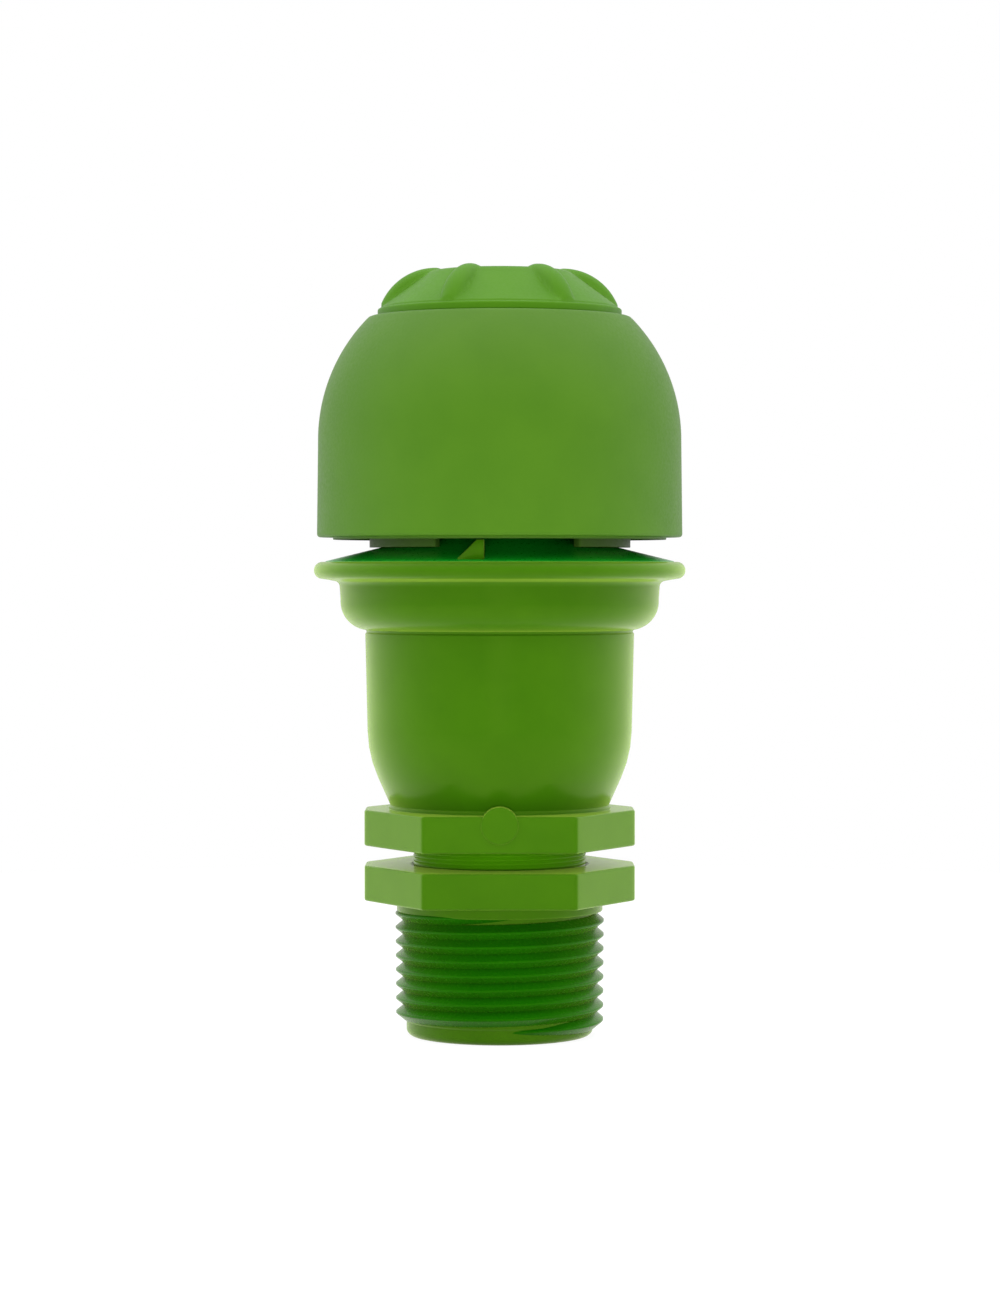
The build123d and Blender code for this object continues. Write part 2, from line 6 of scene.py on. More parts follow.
# %% Load the frame
import json
import bpy
import numpy as np
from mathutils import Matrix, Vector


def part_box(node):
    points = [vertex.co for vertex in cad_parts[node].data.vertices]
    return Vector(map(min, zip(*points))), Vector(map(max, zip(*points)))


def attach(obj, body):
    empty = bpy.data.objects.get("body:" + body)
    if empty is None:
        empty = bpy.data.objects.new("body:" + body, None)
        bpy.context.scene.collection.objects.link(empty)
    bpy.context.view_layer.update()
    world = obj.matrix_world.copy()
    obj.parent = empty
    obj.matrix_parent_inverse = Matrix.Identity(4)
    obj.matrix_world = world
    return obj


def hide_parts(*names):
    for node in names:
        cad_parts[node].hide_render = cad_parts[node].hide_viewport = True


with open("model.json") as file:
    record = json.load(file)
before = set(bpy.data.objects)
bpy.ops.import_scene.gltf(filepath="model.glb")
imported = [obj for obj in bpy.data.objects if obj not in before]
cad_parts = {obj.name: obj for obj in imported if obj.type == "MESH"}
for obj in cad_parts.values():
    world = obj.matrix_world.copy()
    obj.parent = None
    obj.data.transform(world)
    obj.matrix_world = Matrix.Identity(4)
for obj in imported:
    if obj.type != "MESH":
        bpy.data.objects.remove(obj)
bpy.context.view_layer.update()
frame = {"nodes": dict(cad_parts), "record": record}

nodes = frame["nodes"]

# %% [markdown]
# Lengths are written in millimetres, because that is how such a part is drawn, and turned into
# metres once, when a mesh is made. The front of the valve looks along -Y, and angles round the
# axis are counted from +X, so that the front is at 270 degrees.

# %% Units and small helpers
MM = 0.001
TURN = 2 * np.pi
FRONT = -np.pi / 2


def node_z(node):
    """Lowest and highest z of a CAD node, in millimetres."""
    low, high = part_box(node)
    return low.z / MM, high.z / MM


adapter_low, adapter_high = node_z("inlet_adapter")
body_low, body_high = node_z("main_body")
dome_high = node_z("dome_cap")[1]
print("adapter", adapter_low, adapter_high, "body", body_low, body_high, "dome top", dome_high)

# %% [markdown]
# Nearly all of this object is turned round one axis. An outline is drawn as a few corners, each
# with a rounding radius, as on a moulder's drawing, and a helper replaces every corner by a real
# arc. Each outline point has three numbers: r, z and h. Where h is 0, r is a radius. Where h is
# 1, r is a distance from the hexagon's outline, so one surface can pass from a round neck to a
# hexagon and back without a seam.

# %% Outlines with rounded corners
ARC_STEP = np.radians(9)


def arc(centre, radius, start, end, steps):
    """Points (r, z) of a circle: centre plus radius times (cos, sin) of evenly spaced angles in degrees."""
    angle = np.radians(np.linspace(start, end, steps))
    return np.stack([centre[0] + radius * np.cos(angle), centre[1] + radius * np.sin(angle)], 1)


def rounded(corners, spacing=1.4, support=0.12):
    """Corners (r, z, radius) to points. A corner of turn a is replaced by an arc that touches both
    straights at radius * tan(a / 2) from it. Straights get a point close to each end, which keeps the
    shading of a flat face flat, and more at the spacing."""
    corners = np.array(corners, float)
    place, radius = corners[:, :2], corners[:, 2]
    pieces = [place[:1]]
    for index in range(1, len(place) - 1):
        before = place[index - 1] - place[index]
        after = place[index + 1] - place[index]
        before /= np.linalg.norm(before)
        after /= np.linalg.norm(after)
        half = np.arccos(np.clip(before @ after, -1, 1)) / 2
        if radius[index] <= 0 or half > np.pi / 2 - 0.01:
            pieces.append(place[index:index + 1])
            continue
        middle = (before + after) / np.linalg.norm(before + after)
        centre = place[index] + middle * radius[index] / np.sin(half)
        reach = radius[index] / np.tan(half)
        first, last = place[index] + before * reach, place[index] + after * reach
        count = max(4, int(np.ceil((np.pi - 2 * half) / ARC_STEP)) + 1)
        start = first - centre
        end = last - centre
        turn = np.arctan2(start[0] * end[1] - start[1] * end[0], start @ end)
        angle = np.arctan2(start[1], start[0]) + np.linspace(0, turn, count)
        pieces.append(centre + radius[index] * np.stack([np.cos(angle), np.sin(angle)], 1))
    pieces.append(place[-1:])
    out = [pieces[0]]
    for piece in pieces[1:]:
        a, b = out[-1][-1], piece[0]
        length = np.linalg.norm(b - a)
        if length > 3 * support:
            middle = np.linspace(support, length - support, max(2, int(length / spacing) + 1))
            out.append(a + (b - a) * (middle / length)[:, None])
        out.append(piece)
    return np.vstack(out)


def with_h(points, h=0.0):
    """Adds the column h to (r, z) points."""
    return np.column_stack([points, np.full(len(points), h)])


print("a round right angle has", len(rounded([(0, 0, 0), (1, 0, 1), (1, 1, 0)])), "points")

# %% [markdown]
# The wrench hexagon has flats to the front and back, its two side corners are cut flat, and all
# its corners are slightly rounded. In polar form a straight line at distance d and direction p
# is r = d / cos(t - p). The outline is the nearest of those lines in every direction, and a high
# power mean of them rounds the corners.

# %% The hexagon's outline
HEX_HALF = 20.25
HEX_SIDE_X = 21.04
HEX_POWER = 170
flat_turns = np.radians([30, 90, 150, 210, 270, 330, 0, 180])
flat_reach = np.array([HEX_HALF] * 6 + [HEX_SIDE_X] * 2)
corner_turns = np.radians([10.92, 60, 120, 169.08, 190.92, 240, 300, 349.08])


def hex_radius(turns):
    """r(t) = (sum over flats of (max(cos(t - p), 0) / d) ** n) ** (-1 / n)."""
    lean = np.clip(np.cos(turns[:, None] - flat_turns), 1e-6, None) / flat_reach
    return (lean ** HEX_POWER).sum(1) ** (-1 / HEX_POWER)


def turn_stops(fine=False):
    """Angles round the axis: every 1.5 degrees, and closer together at the hexagon's corners."""
    even = np.radians(np.arange(0, 360, 1.5))
    if not fine:
        return even
    near = (corner_turns[:, None] + np.radians([-0.8, -0.4, 0, 0.4, 0.8])).ravel() % TURN
    return np.unique(np.round(np.concatenate([even, near]), 6))


print("hexagon reach at the front, a side and a corner, mm:",
      hex_radius(np.radians([270.0, 0.0, 60.0])).round(2))

# %% [markdown]
# Every new piece is a grid of points: rows round the axis or along a path, columns along an
# outline. One helper joins the grid's quads and closes its open ends, and another turns all faces
# outwards by the sign of the enclosed volume, so that no piece can come out inside out. The Screw
# and Array modifiers build such shapes too, but not with a hexagon on the way.

# %% From grids of points to closed meshes


def grid_shell(points, wrap_rows=True, wrap_columns=True):
    """Quads between neighbours in a (rows, columns, 3) grid, with the open ends closed by one face."""
    rows, columns = points.shape[:2]
    number = np.arange(rows * columns).reshape(rows, columns)
    down = number if wrap_rows else number[:-1]
    across = down if wrap_columns else down[:, :-1]
    row = across // columns
    column = across % columns
    right = number[row, (column + 1) % columns]
    below = number[(row + 1) % rows, column]
    corner = number[(row + 1) % rows, (column + 1) % columns]
    faces = np.stack([across, below, corner, right], -1).reshape(-1, 4).tolist()
    if not wrap_rows:
        faces += [number[0].tolist(), number[-1][::-1].tolist()]
    if not wrap_columns:
        faces += [number[:, 0][::-1].tolist(), number[:, -1].tolist()]
    return points.reshape(-1, 3), faces


def outward(points, faces):
    """Keeps the faces' order if the volume they enclose is positive, and reverses it if not."""
    volume = 0.0
    quads = np.array([face for face in faces if len(face) == 4])
    if len(quads):
        a, b, c, d = (points[quads[:, k]] for k in range(4))
        volume += (np.cross(b - a, c - a) * a).sum() + (np.cross(c - a, d - a) * a).sum()
    for face in faces:
        if len(face) != 4:
            fan = points[face]
            volume += (np.cross(fan[1:-1] - fan[0], fan[2:] - fan[0]) * fan[0]).sum()
    return faces if volume > 0 else [face[::-1] for face in faces]


def make_piece(name, shells, body, slot, *replaced):
    """One object from closed shells given in millimetres, riding on a body of the frame."""
    verts, faces, base = [], [], 0
    for points, shell_faces in shells:
        shell_faces = outward(points, shell_faces)
        faces += [[corner + base for corner in face] for face in shell_faces]
        verts.append(points)
        base += len(points)
    mesh = bpy.data.meshes.new(name)
    mesh.from_pydata((np.vstack(verts) * MM).tolist(), [], faces)
    mesh.polygons.foreach_set("use_smooth", np.ones(len(mesh.polygons), bool))
    mesh.update()
    piece = bpy.data.objects.new(name, mesh)
    bpy.context.scene.collection.objects.link(piece)
    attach(piece, body)
    if replaced:
        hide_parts(*replaced)
    print(name, "has", len(faces), "faces")
    return piece


def spin(outline, turns):
    """Surface of turn: x = R cos t, y = R sin t, z, where R is r or, for h = 1, the hexagon's radius plus
    r."""
    r, z, h = outline.T
    reach = r + h * hex_radius(turns)[:, None]
    shape = np.broadcast_to(z, reach.shape)
    return np.stack([reach * np.cos(turns)[:, None], reach * np.sin(turns)[:, None], shape], -1)


print("a grid of 4 by 2 points closed at both ends is a box of",
      len(grid_shell(np.zeros((4, 2, 3)), wrap_columns=False)[1]), "faces")

# %% [markdown]
# A screw thread is one ridge carried along a helix. It could be a bump map or a height pattern on
# an upright grid, but a bump map leaves the outline smooth and a grid gives stepped crests. Its own
# closed shell, sunk a little into the wall, has clean crests that follow the helix exactly. The
# flanks of neighbouring turns run on below the wall and cross there, so the groove between them is
# sharp. The ridge grows out of the pilot and runs out into the collar, as on the real moulding,
# because its height fades at both ends.

# %% A ridge along a helix
RUN_OUT_SINK = 0.55
TURN_STEP = np.radians(3.0)
FLANK_STOPS = [0, 0.09, 1, 1.1, 1.1]
FOOT_DROP = -0.5


def helix_ridge(root, crest, pitch, start, end, z_at_zero, crest_half, fade, taper=0.0):
    """Points at angle t and outline column k: radius = root + height(t) * lift(k) + taper * (z - z0) and
    z = z0 + pitch * t / 2 pi + side(k). With g = min(t - start, end - t) / fade, held between 0 and 1, the
    height grows as g^2 (3 - 2 g), and the faded ends sink by RUN_OUT_SINK below the wall. A flank falls
    evenly over its stops, which lie from its shoulder (0) past its foot (1), and ends at the foot's drop."""
    turns = np.arange(start, end, TURN_STEP)
    half = pitch * 0.5
    shoulder = crest_half * 1.5
    down = np.array(FLANK_STOPS)
    flank = shoulder + (half - shoulder) * down
    fall = np.append(0.94 - 0.92 * down[:-1], FOOT_DROP)
    side = np.concatenate([-flank[::-1], [-crest_half, crest_half], flank])
    lift = np.concatenate([fall[::-1], [1, 1], fall])
    grow = np.clip(np.minimum(turns - start, end - turns) / fade, 0, 1)
    grow = grow * grow * (3 - 2 * grow)
    height = (crest - root) * np.where(lift > 0, lift * grow[:, None], lift)
    height = height - (1 - grow[:, None]) * RUN_OUT_SINK
    z = z_at_zero + pitch * turns[:, None] / TURN + side * (0.25 + 0.75 * grow[:, None])
    reach = root + height + taper * (z - z_at_zero)
    points = np.stack([reach * np.cos(turns)[:, None], reach * np.sin(turns)[:, None], z], -1)
    return grid_shell(points, wrap_rows=False)


print("one turn of a ridge has", len(helix_ridge(15, 16, 2, 0, TURN, 0, 0.1, 1)[1]), "faces")

# %% [markdown]
# The inlet adapter: a threaded nipple, a collar and the lower hexagon. The pitch is that of a
# one inch taper pipe thread, 11.5 turns to the inch. The nipple's wall lies a little below the
# ridge's foot, so that the two surfaces never share a place. The hexagon's edges are rounded by a
# third of a millimetre, which is what catches the light on a moulded fitting. Bevel modifiers
# could round them, but here the outline has the roundings already. The thread is an object of
# its own, because it gets a finish of its own.

# %% The inlet adapter
PIPE_PITCH = 25.4 / 11.5
ROOT_R = 15.0
CREST_R = 16.2
CREST_HALF = 0.13
NIPPLE_R = ROOT_R - 0.2
PILOT_R = 14.58
PILOT_Z = 2.35
FIRST_CREST_Z = 3.63
THREAD_START = np.radians(-95)
THREAD_END = np.radians(2820)
THREAD_FADE = np.radians(75)
THREAD_TAPER = 0.007
COLLAR_R = 16.1
COLLAR_Z = 19.45
BORE_R = 11.0
SOCKET_R = 13.55
SOCKET_FLOOR = 17.4
LOWER_HEX = (21.3, adapter_high)
EDGE = 0.35
fine_turns = turn_stops(fine=True)


def hex_zone(low, high, edge=EDGE):
    """Outline of a hexagon's rim from its lower to its upper face, with h = 1."""
    return with_h(rounded([(-2.5, low, 0), (0, low, edge), (0, high, edge), (-2.5, high, 0)]), 1.0)


adapter_outline = np.vstack([
    with_h(rounded([(BORE_R, 9, 0), (BORE_R, 0, 0.3), (PILOT_R, 0, 1.15), (PILOT_R, PILOT_Z, 0.1),
                    (NIPPLE_R, PILOT_Z + 0.25, 0.2), (NIPPLE_R, COLLAR_Z, 0.1), (COLLAR_R, COLLAR_Z, 0.25),
                    (COLLAR_R, LOWER_HEX[0], 0.35), (COLLAR_R + 1.2, LOWER_HEX[0], 0)])),
    hex_zone(*LOWER_HEX),
    with_h(rounded([(SOCKET_R + 1.6, LOWER_HEX[1], 0), (SOCKET_R + 0.45, LOWER_HEX[1], 0.1),
                    (SOCKET_R, LOWER_HEX[1] - 0.45, 0.1), (SOCKET_R, SOCKET_FLOOR, 0.2),
                    (BORE_R, SOCKET_FLOOR, 0.2), (BORE_R, 10, 0)])),
])
thread_z = FIRST_CREST_Z - PIPE_PITCH / 2
thread_shell = helix_ridge(ROOT_R, CREST_R, PIPE_PITCH, THREAD_START, THREAD_END, thread_z, CREST_HALF,
                           THREAD_FADE, THREAD_TAPER)
inlet_adapter = make_piece("adapter_skin", [grid_shell(spin(adapter_outline, fine_turns))],
                           "root", "body_plastic", "inlet_adapter")
# The thread's own finish carries painted shade: darker, greener tones for its shaded grooves.
pipe_thread = make_piece("pipe_thread", [thread_shell], "root", "body_plastic", "inlet_adapter")

# %% [markdown]
# The main body's surface of turn: neck, upper hexagon, barrel, bowl and rim bead outside, and the
# chamber of the float inside. The outline's arcs are the ones that the CAD model has, drawn here
# with their small edge roundings and the shallow groove under the bowl. The barrel could be scaled
# from a cylinder, but its shoulder is a true arc between a cone and a slightly drafted wall, and
# its highlight shows that.

# %% The main body's outline
NECK_ROOT_R = 13.36
UPPER_HEX = (29.85, 35.45)
STEP_R = 17.3
STEP_Z = 35.95
BARREL = [(17.05, STEP_Z), (19.0, 40.3), (20.65, 47.6), (21.0, 62.3)]
GROOVE = [(21.0, 62.85, 0.3), (20.78, 63.0, 0.1), (20.9, 63.35, 0.1), (21.1, 63.39, 0)]
BOWL_CENTRE, BOWL_R = (20.39, 67.8), 4.46
BOWL_WALL = [(24.86, 68.4, 0), (25.04, 70.85, 0.9), (27.2, 71.25, 0)]
BEAD_CENTRE, BEAD_R = (27.65, 72.65), 1.33
BEAD_TOP_Z = 73.9
REBATE_R = 27.25
REBATE_Z = 72.6
SKIRT_SEAT = (22.65, 66.9)
CHAMBER_R = 18.5
CHAMBER_LOW_R = 14.9
CHAMBER_CONE_Z = (36.6, 46.0)
CHAMBER_FLOOR = 31.8
CHAMBER_TOP = (20.6, 64.6)
BODY_BORE_R = 10.5


def barrel_curve():
    """Cone, tangent arc and lightly drafted wall of the barrel, as one rounded corner: the two straights meet
    in it, and an arc that touches them at the distance d has the radius d / tan(turn / 2)."""
    (r0, z0), (r1, z1), (r2, z2), (r3, z3) = BARREL
    cone, wall = (r1 - r0) / (z1 - z0), (r3 - r2) / (z3 - z2)
    z = (r2 - wall * z2 - r0 + cone * z0) / (cone - wall)
    r = r0 + cone * (z - z0)
    radius = np.hypot(r - r1, z - z1) / np.tan((np.arctan(cone) - np.arctan(wall)) / 2)
    print("barrel corner", round(r, 2), round(z, 2), "radius", round(radius, 2))
    return [(r0, z0, 0.1), (r, z, radius)]


body_outline = np.vstack([
    with_h(rounded([(BODY_BORE_R, 24, 0), (BODY_BORE_R, body_low, 0.2), (NECK_ROOT_R, body_low, 0.3),
                    (NECK_ROOT_R, UPPER_HEX[0], 0.25), (NECK_ROOT_R + 1.5, UPPER_HEX[0], 0)])),
    hex_zone(*UPPER_HEX),
    with_h(rounded([(STEP_R + 0.5, UPPER_HEX[1], 0), (STEP_R, UPPER_HEX[1], 0.08), (STEP_R, STEP_Z, 0.2)]
                   + barrel_curve() + GROOVE)),
    with_h(arc(BOWL_CENTRE, BOWL_R, -80, 0, 26)),
    with_h(rounded(BOWL_WALL)),
    with_h(arc(BEAD_CENTRE, BEAD_R, -84, 100, 34)),
    with_h(rounded([(REBATE_R + 0.05, BEAD_TOP_Z, 0), (REBATE_R, BEAD_TOP_Z - 0.1, 0.1),
                    (REBATE_R, REBATE_Z, 0.1), (SKIRT_SEAT[0], REBATE_Z, 0.1), (*SKIRT_SEAT, 0.1),
                    (*CHAMBER_TOP, 0.1), (CHAMBER_R, CHAMBER_TOP[1], 0.1),
                    (CHAMBER_R, CHAMBER_CONE_Z[1], 1.0), (CHAMBER_LOW_R, CHAMBER_CONE_Z[0], 1.0),
                    (CHAMBER_LOW_R, CHAMBER_FLOOR, 0.5), (BODY_BORE_R, CHAMBER_FLOOR, 0.2),
                    (BODY_BORE_R, 25, 0)])),
])
print("body outline", len(body_outline), "points")

# %% [markdown]
# The body also has a fine thread on its neck and a plain round boss on the front flat of its
# upper hexagon. Both are closed shells of their own, sunk into the wall, in the same object. A
# boolean would join them, but it leaves long thin triangles that shade badly, and from outside
# nobody can tell the difference.

# %% The main body with its neck thread and boss
NECK_R = 13.5
NECK_PITCH = 0.64
NECK_CREST_HALF = 0.06
NECK_TURNS = 6.5
NECK_THREAD_Z = 25.9
NECK_FADE = np.radians(40)
BOSS_R = 2.83
BOSS_Z = 34.06
BOSS_FACE_Y = -HEX_HALF - 0.3
BOSS_ROOT_Y = -14


def round_boss():
    """Short rod along Y: an outline (r, y) carried round the boss's own axis, closed at both ends."""
    outline = rounded([(0.4, BOSS_FACE_Y, 0), (BOSS_R, BOSS_FACE_Y, 0.25), (BOSS_R, BOSS_ROOT_Y, 0)])
    t = np.linspace(0, TURN, 96, endpoint=False)[:, None]
    x = outline[:, 0] * np.cos(t)
    z = BOSS_Z + outline[:, 0] * np.sin(t)
    return grid_shell(np.stack([x, np.broadcast_to(outline[:, 1], x.shape), z], -1), wrap_columns=False)


neck_thread = helix_ridge(NECK_ROOT_R, NECK_R, NECK_PITCH, 0, TURN * NECK_TURNS, NECK_THREAD_Z,
                          NECK_CREST_HALF, NECK_FADE)
main_body = make_piece("body_skin", [grid_shell(spin(body_outline, fine_turns)), neck_thread, round_boss()],
                       "root", "body_plastic", "main_body")

# %% [markdown]
# The cover closes the bowl. Its cone rises 13.9 degrees from the bead to the chimney that the air
# leaves by, and its skirt reaches down into the bowl. A cone primitive with holes cut in it would
# do for the outside, but one outline gives cone, chimney and skirt at once, with their roundings.

# %% The cover's outline
CONE_SLOPE = np.tan(np.radians(13.9))
CONE_EDGE_Z = 74.06
CHIMNEY = (9.0, 11.0)
CHIMNEY_Z = (69.0, 96.0)
SKIRT_R = (19.8, 20.5, 22.6)
SKIRT_Z = (64.95, 67.3)


def cone_z(r):
    """Height of the cone at a radius."""
    return CONE_EDGE_Z + (REBATE_R - r) * CONE_SLOPE


cover_edge = REBATE_R - 0.05
cover_outline = with_h(rounded([
    (CHIMNEY[0], 80, 0), (CHIMNEY[0], CHIMNEY_Z[0], 0.3), (CHIMNEY[1], CHIMNEY_Z[0], 0.6),
    (CHIMNEY[1], cone_z(CHIMNEY[1]) - 3, 0.5), (SKIRT_R[0], cone_z(SKIRT_R[0]) - 2.2, 0.4),
    (SKIRT_R[0], SKIRT_Z[0], 0.2), (SKIRT_R[1], SKIRT_Z[0], 0.2), (SKIRT_R[2], SKIRT_Z[1], 0.2),
    (SKIRT_R[2], REBATE_Z + 0.02, 0.1), (cover_edge, REBATE_Z + 0.02, 0.1),
    (cover_edge, cone_z(cover_edge), 0.15), (CHIMNEY[1], cone_z(CHIMNEY[1]), 0.8),
    (CHIMNEY[1], CHIMNEY_Z[1], 0.4), (CHIMNEY[0], CHIMNEY_Z[1], 0.4), (CHIMNEY[0], 81, 0)]))
print("cover outline", len(cover_outline), "points, chimney's foot at z", round(cone_z(CHIMNEY[1]), 2))

# %% [markdown]
# A spider in the chimney, three arms on a hub, holds the stud that carries the dome. It is hardly
# seen, so plain slabs will do: a box in its own axes, turned into place.

# %% The spider and the cover
SPIDER_HUB = (4.05, 5.5)
SPIDER_Z = (91.5, 96.0)
SPIDER_ARM_X = (4.6, 9.7)
SPIDER_ARM_HALF = 1.1


def spider_arm(turn):
    """Upright slab from the hub to the chimney wall, as a closed strip of two rows of four points."""
    x = np.array(SPIDER_ARM_X)
    y = np.array([-SPIDER_ARM_HALF, SPIDER_ARM_HALF, SPIDER_ARM_HALF, -SPIDER_ARM_HALF])
    z = np.array([SPIDER_Z[0], SPIDER_Z[0], SPIDER_Z[1] - 0.05, SPIDER_Z[1] - 0.05])
    grid = np.stack(np.broadcast_arrays(x[:, None], y, z), -1)
    c, s = np.cos(turn), np.sin(turn)
    return grid_shell(grid @ np.array([[c, s, 0], [-s, c, 0], [0, 0, 1]]), wrap_rows=False)


hub_in, hub_out = SPIDER_HUB
hub_outline = with_h(rounded([(hub_in, 93, 0), (hub_in, SPIDER_Z[0], 0.3), (hub_out, SPIDER_Z[0], 0.3),
                              (hub_out, SPIDER_Z[1], 0.3), (hub_in, SPIDER_Z[1], 0.3), (hub_in, 94, 0)]))
round_turns = turn_stops()
cover = make_piece(
    "cover_skin",
    [grid_shell(spin(cover_outline, round_turns)), grid_shell(spin(hub_outline, round_turns))]
    + [spider_arm(np.radians(30) + k * TURN / 3) for k in range(3)],
    "root", "cover_plastic", "cover")

# %% [markdown]
# Two ramp-shaped lugs stand on the cone. A ring spanner drives the cover home by their steep ends
# and slides over the ramps the other way. They could be boxes with a sloping top, but they are
# swept round the axis, so that their flanks are curved as on the real one.

# %% The driving lugs
LUG_R = (24.7, 26.3)
LUG_TURNS = (-14.9, -5.2)
LUG_TOP = 77.25
LUG_LENGTH = 4.3
LUG_LAND = 1.0
LUG_LAND_TURNS = (-2.6, -2.2)
LUG_END_TURN = 0.35
LUG_END_DROP = 0.18
LUG_EDGE = 0.15


def lug(middle_turn):
    """Wedge swept round the axis: for an angle t the section is a box from r0 to r1 with its upper edges cut,
    whose foot is sunk into the cone and whose top is the smaller of the ramp's line and the flat land. The
    last part of the land falls by a quarter circle."""
    t = np.radians(np.array([*np.linspace(LUG_TURNS[0], LUG_TURNS[1] + LUG_LAND_TURNS[0], 14),
                             *np.linspace(LUG_TURNS[1] + LUG_LAND_TURNS[1], LUG_TURNS[1], 8)]))
    across = (t - t[0]) / (t[-1] - t[0])
    base = cone_z(LUG_R[1]) - 0.3
    ramp = base + (LUG_TOP - base) * across / (1 - LUG_LAND / LUG_LENGTH)
    top = np.minimum(ramp, LUG_TOP)
    end = np.clip((t[-1] - t) / np.radians(LUG_END_TURN), 0, 1)
    top = top - LUG_END_DROP * (1 - np.sqrt(1 - (1 - end) ** 2))
    inner, outer = LUG_R
    r = np.array([inner, inner, inner + LUG_EDGE, outer - LUG_EDGE, outer, outer])
    sunk = np.array([True, False, False, False, False, True])
    z = np.where(sunk, base - 0.6, top[:, None] - np.array([0, LUG_EDGE, 0, 0, LUG_EDGE, 0]))
    angle = middle_turn + t[:, None]
    points = np.stack([r * np.cos(angle), r * np.sin(angle), z], -1)
    return grid_shell(points, wrap_rows=False)


lugs = make_piece(
    "driving_lugs", [lug(FRONT + k * TURN / 2) for k in range(2)], "root", "body_plastic", "cover")

# %% [markdown]
# The dome cap keeps rain and splashes out and lets the air leave below its rim. Its bell is thin.
# The shoulder is one large arc, and the crown is a flat ledge for the knob. Outer and inner arc
# share their centre, so the wall has the same thickness all the way, as a moulder wants it. A
# single surface with a Solidify modifier would look the same from outside.

# %% The dome's outline
DOME_RIM = (28.5, 77.8)
DOME_CENTRE = (1.30, 92.95)
DOME_ARC_R = 27.02
DOME_WALL = 2.0
LIP_R = (25.2, 26.0)
LIP_Z = 77.42
LEDGE_Z = dome_high
LEDGE_R = 20.15
LEDGE_DROP = 0.42
HUB = (5.6, 8.0)
HUB_Z = 102.0

crown_turn = np.degrees(np.arcsin((LEDGE_Z - LEDGE_DROP - DOME_CENTRE[1]) / DOME_ARC_R))
inner_turn = np.degrees(np.arcsin((LEDGE_Z - DOME_WALL - DOME_CENTRE[1]) / (DOME_ARC_R - DOME_WALL)))
outer_arc = arc(DOME_CENTRE, DOME_ARC_R, 0, crown_turn, 60)
inner_arc = arc(DOME_CENTRE, DOME_ARC_R - DOME_WALL, inner_turn, 0, 40)
wall_r = DOME_RIM[0] - DOME_WALL
lip_top = LIP_Z + 1.2
dome_outline = with_h(np.vstack([
    rounded([(wall_r - 0.3, lip_top + 1.0, 0), (LIP_R[0], lip_top, 0.2), (LIP_R[0], LIP_Z, 0.1),
             (LIP_R[1], LIP_Z, 0.1), (LIP_R[1], DOME_RIM[1], 0.1), (DOME_RIM[0], DOME_RIM[1], 0.5),
             (DOME_CENTRE[0] + DOME_ARC_R, DOME_CENTRE[1] - 0.3, 0)]),
    outer_arc,
    rounded([(LEDGE_R + 0.3, LEDGE_Z - 0.12, 0), (LEDGE_R, LEDGE_Z, 0.3), (HUB[0], LEDGE_Z, 0.2),
             (HUB[0], HUB_Z, 0.2), (HUB[1], HUB_Z, 0.2), (HUB[1], LEDGE_Z - DOME_WALL, 0.5),
             (inner_arc[0][0] - 0.4, LEDGE_Z - DOME_WALL, 0)]),
    inner_arc,
    rounded([(DOME_CENTRE[0] + DOME_ARC_R - DOME_WALL, DOME_CENTRE[1] - 0.5, 0), (wall_r, lip_top + 1.3, 0.3),
             (wall_r - 0.25, lip_top + 1.05, 0)]),
]))
print("dome outline", len(dome_outline), "points")

# %% [markdown]
# The dome stands on three curved legs. Each is a piece of a tube wall with round upright edges, and
# the gaps between them let the air out and show the dark inside. Cutting three gaps out of a tube
# gives the same legs, but with sharp edges that would need a bevel.

# %% The dome cap with its legs
LEG_R = (18.75, 20.4)
LEG_SPAN = np.radians(55)
LEG_EDGE = 0.35
LEG_STEPS = 24
FIRST_GAP = np.radians(3.9)


def leg(middle_turn):
    """Curved wall: a section (r, z) with rounded corners carried round the axis over the leg's span,
    drawn in by a quarter circle at both ends so that the upright edges are round."""
    inner, outer = LEG_R
    foot = cone_z(inner) + 0.02
    middle = (inner + outer) / 2
    section = rounded([(middle, foot, 0), (outer, foot, 0.1), (outer, LEDGE_Z - 1.5, 0),
                       (inner, LEDGE_Z - 1.5, 0), (inner, foot, 0.1), (middle - 0.01, foot, 0)], spacing=6)
    bend = np.radians(np.linspace(0, 90, 6))
    lead = LEG_EDGE * (1 - np.cos(bend)) / outer
    draw = LEG_EDGE * (1 - np.sin(bend))
    end = LEG_SPAN / 2
    t = np.concatenate([-end + lead, np.linspace(-end + 0.05, end - 0.05, LEG_STEPS), end - lead[::-1]])
    pull = np.concatenate([draw, np.zeros(LEG_STEPS), draw[::-1]])
    half = (outer - inner) / 2
    r = middle + (section[:, 0] - middle) * (1 - pull / half)[:, None]
    angle = middle_turn + t[:, None]
    z = np.broadcast_to(section[:, 1], r.shape)
    return grid_shell(np.stack([r * np.cos(angle), r * np.sin(angle), z], -1), wrap_rows=False)


dome_cap = make_piece(
    "dome_skin",
    [grid_shell(spin(dome_outline, round_turns))]
    + [leg(FRONT + FIRST_GAP + TURN / 6 + k * TURN / 3) for k in range(3)],
    "root", "dome_plastic", "dome_cap")

# %% [markdown]
# The hand knob's top. Its six finger ribs are round bars that curve over the shoulder and sink into
# the cone. The whole top is one height field over radius and angle: the higher of the cone and the
# ribs, joined by a smooth maximum, which leaves the small fillet that a mould has. Six bars joined
# to a cone by a boolean would need that fillet as a bevel, which often fails where it is narrow.

# %% The knob's top
KNOB_CONE = [(18.45, 113.6), (10.8, 119.25)]
RIB_TURN = np.radians(-25.5)
RIB_CENTRE = (10.0, 110.55)
RIB_CREST_R = 9.2
RIB_ROUND_R = 1.9
KNOB_FILLET = 0.45
KNOB_CROWN_FILLET = 0.5


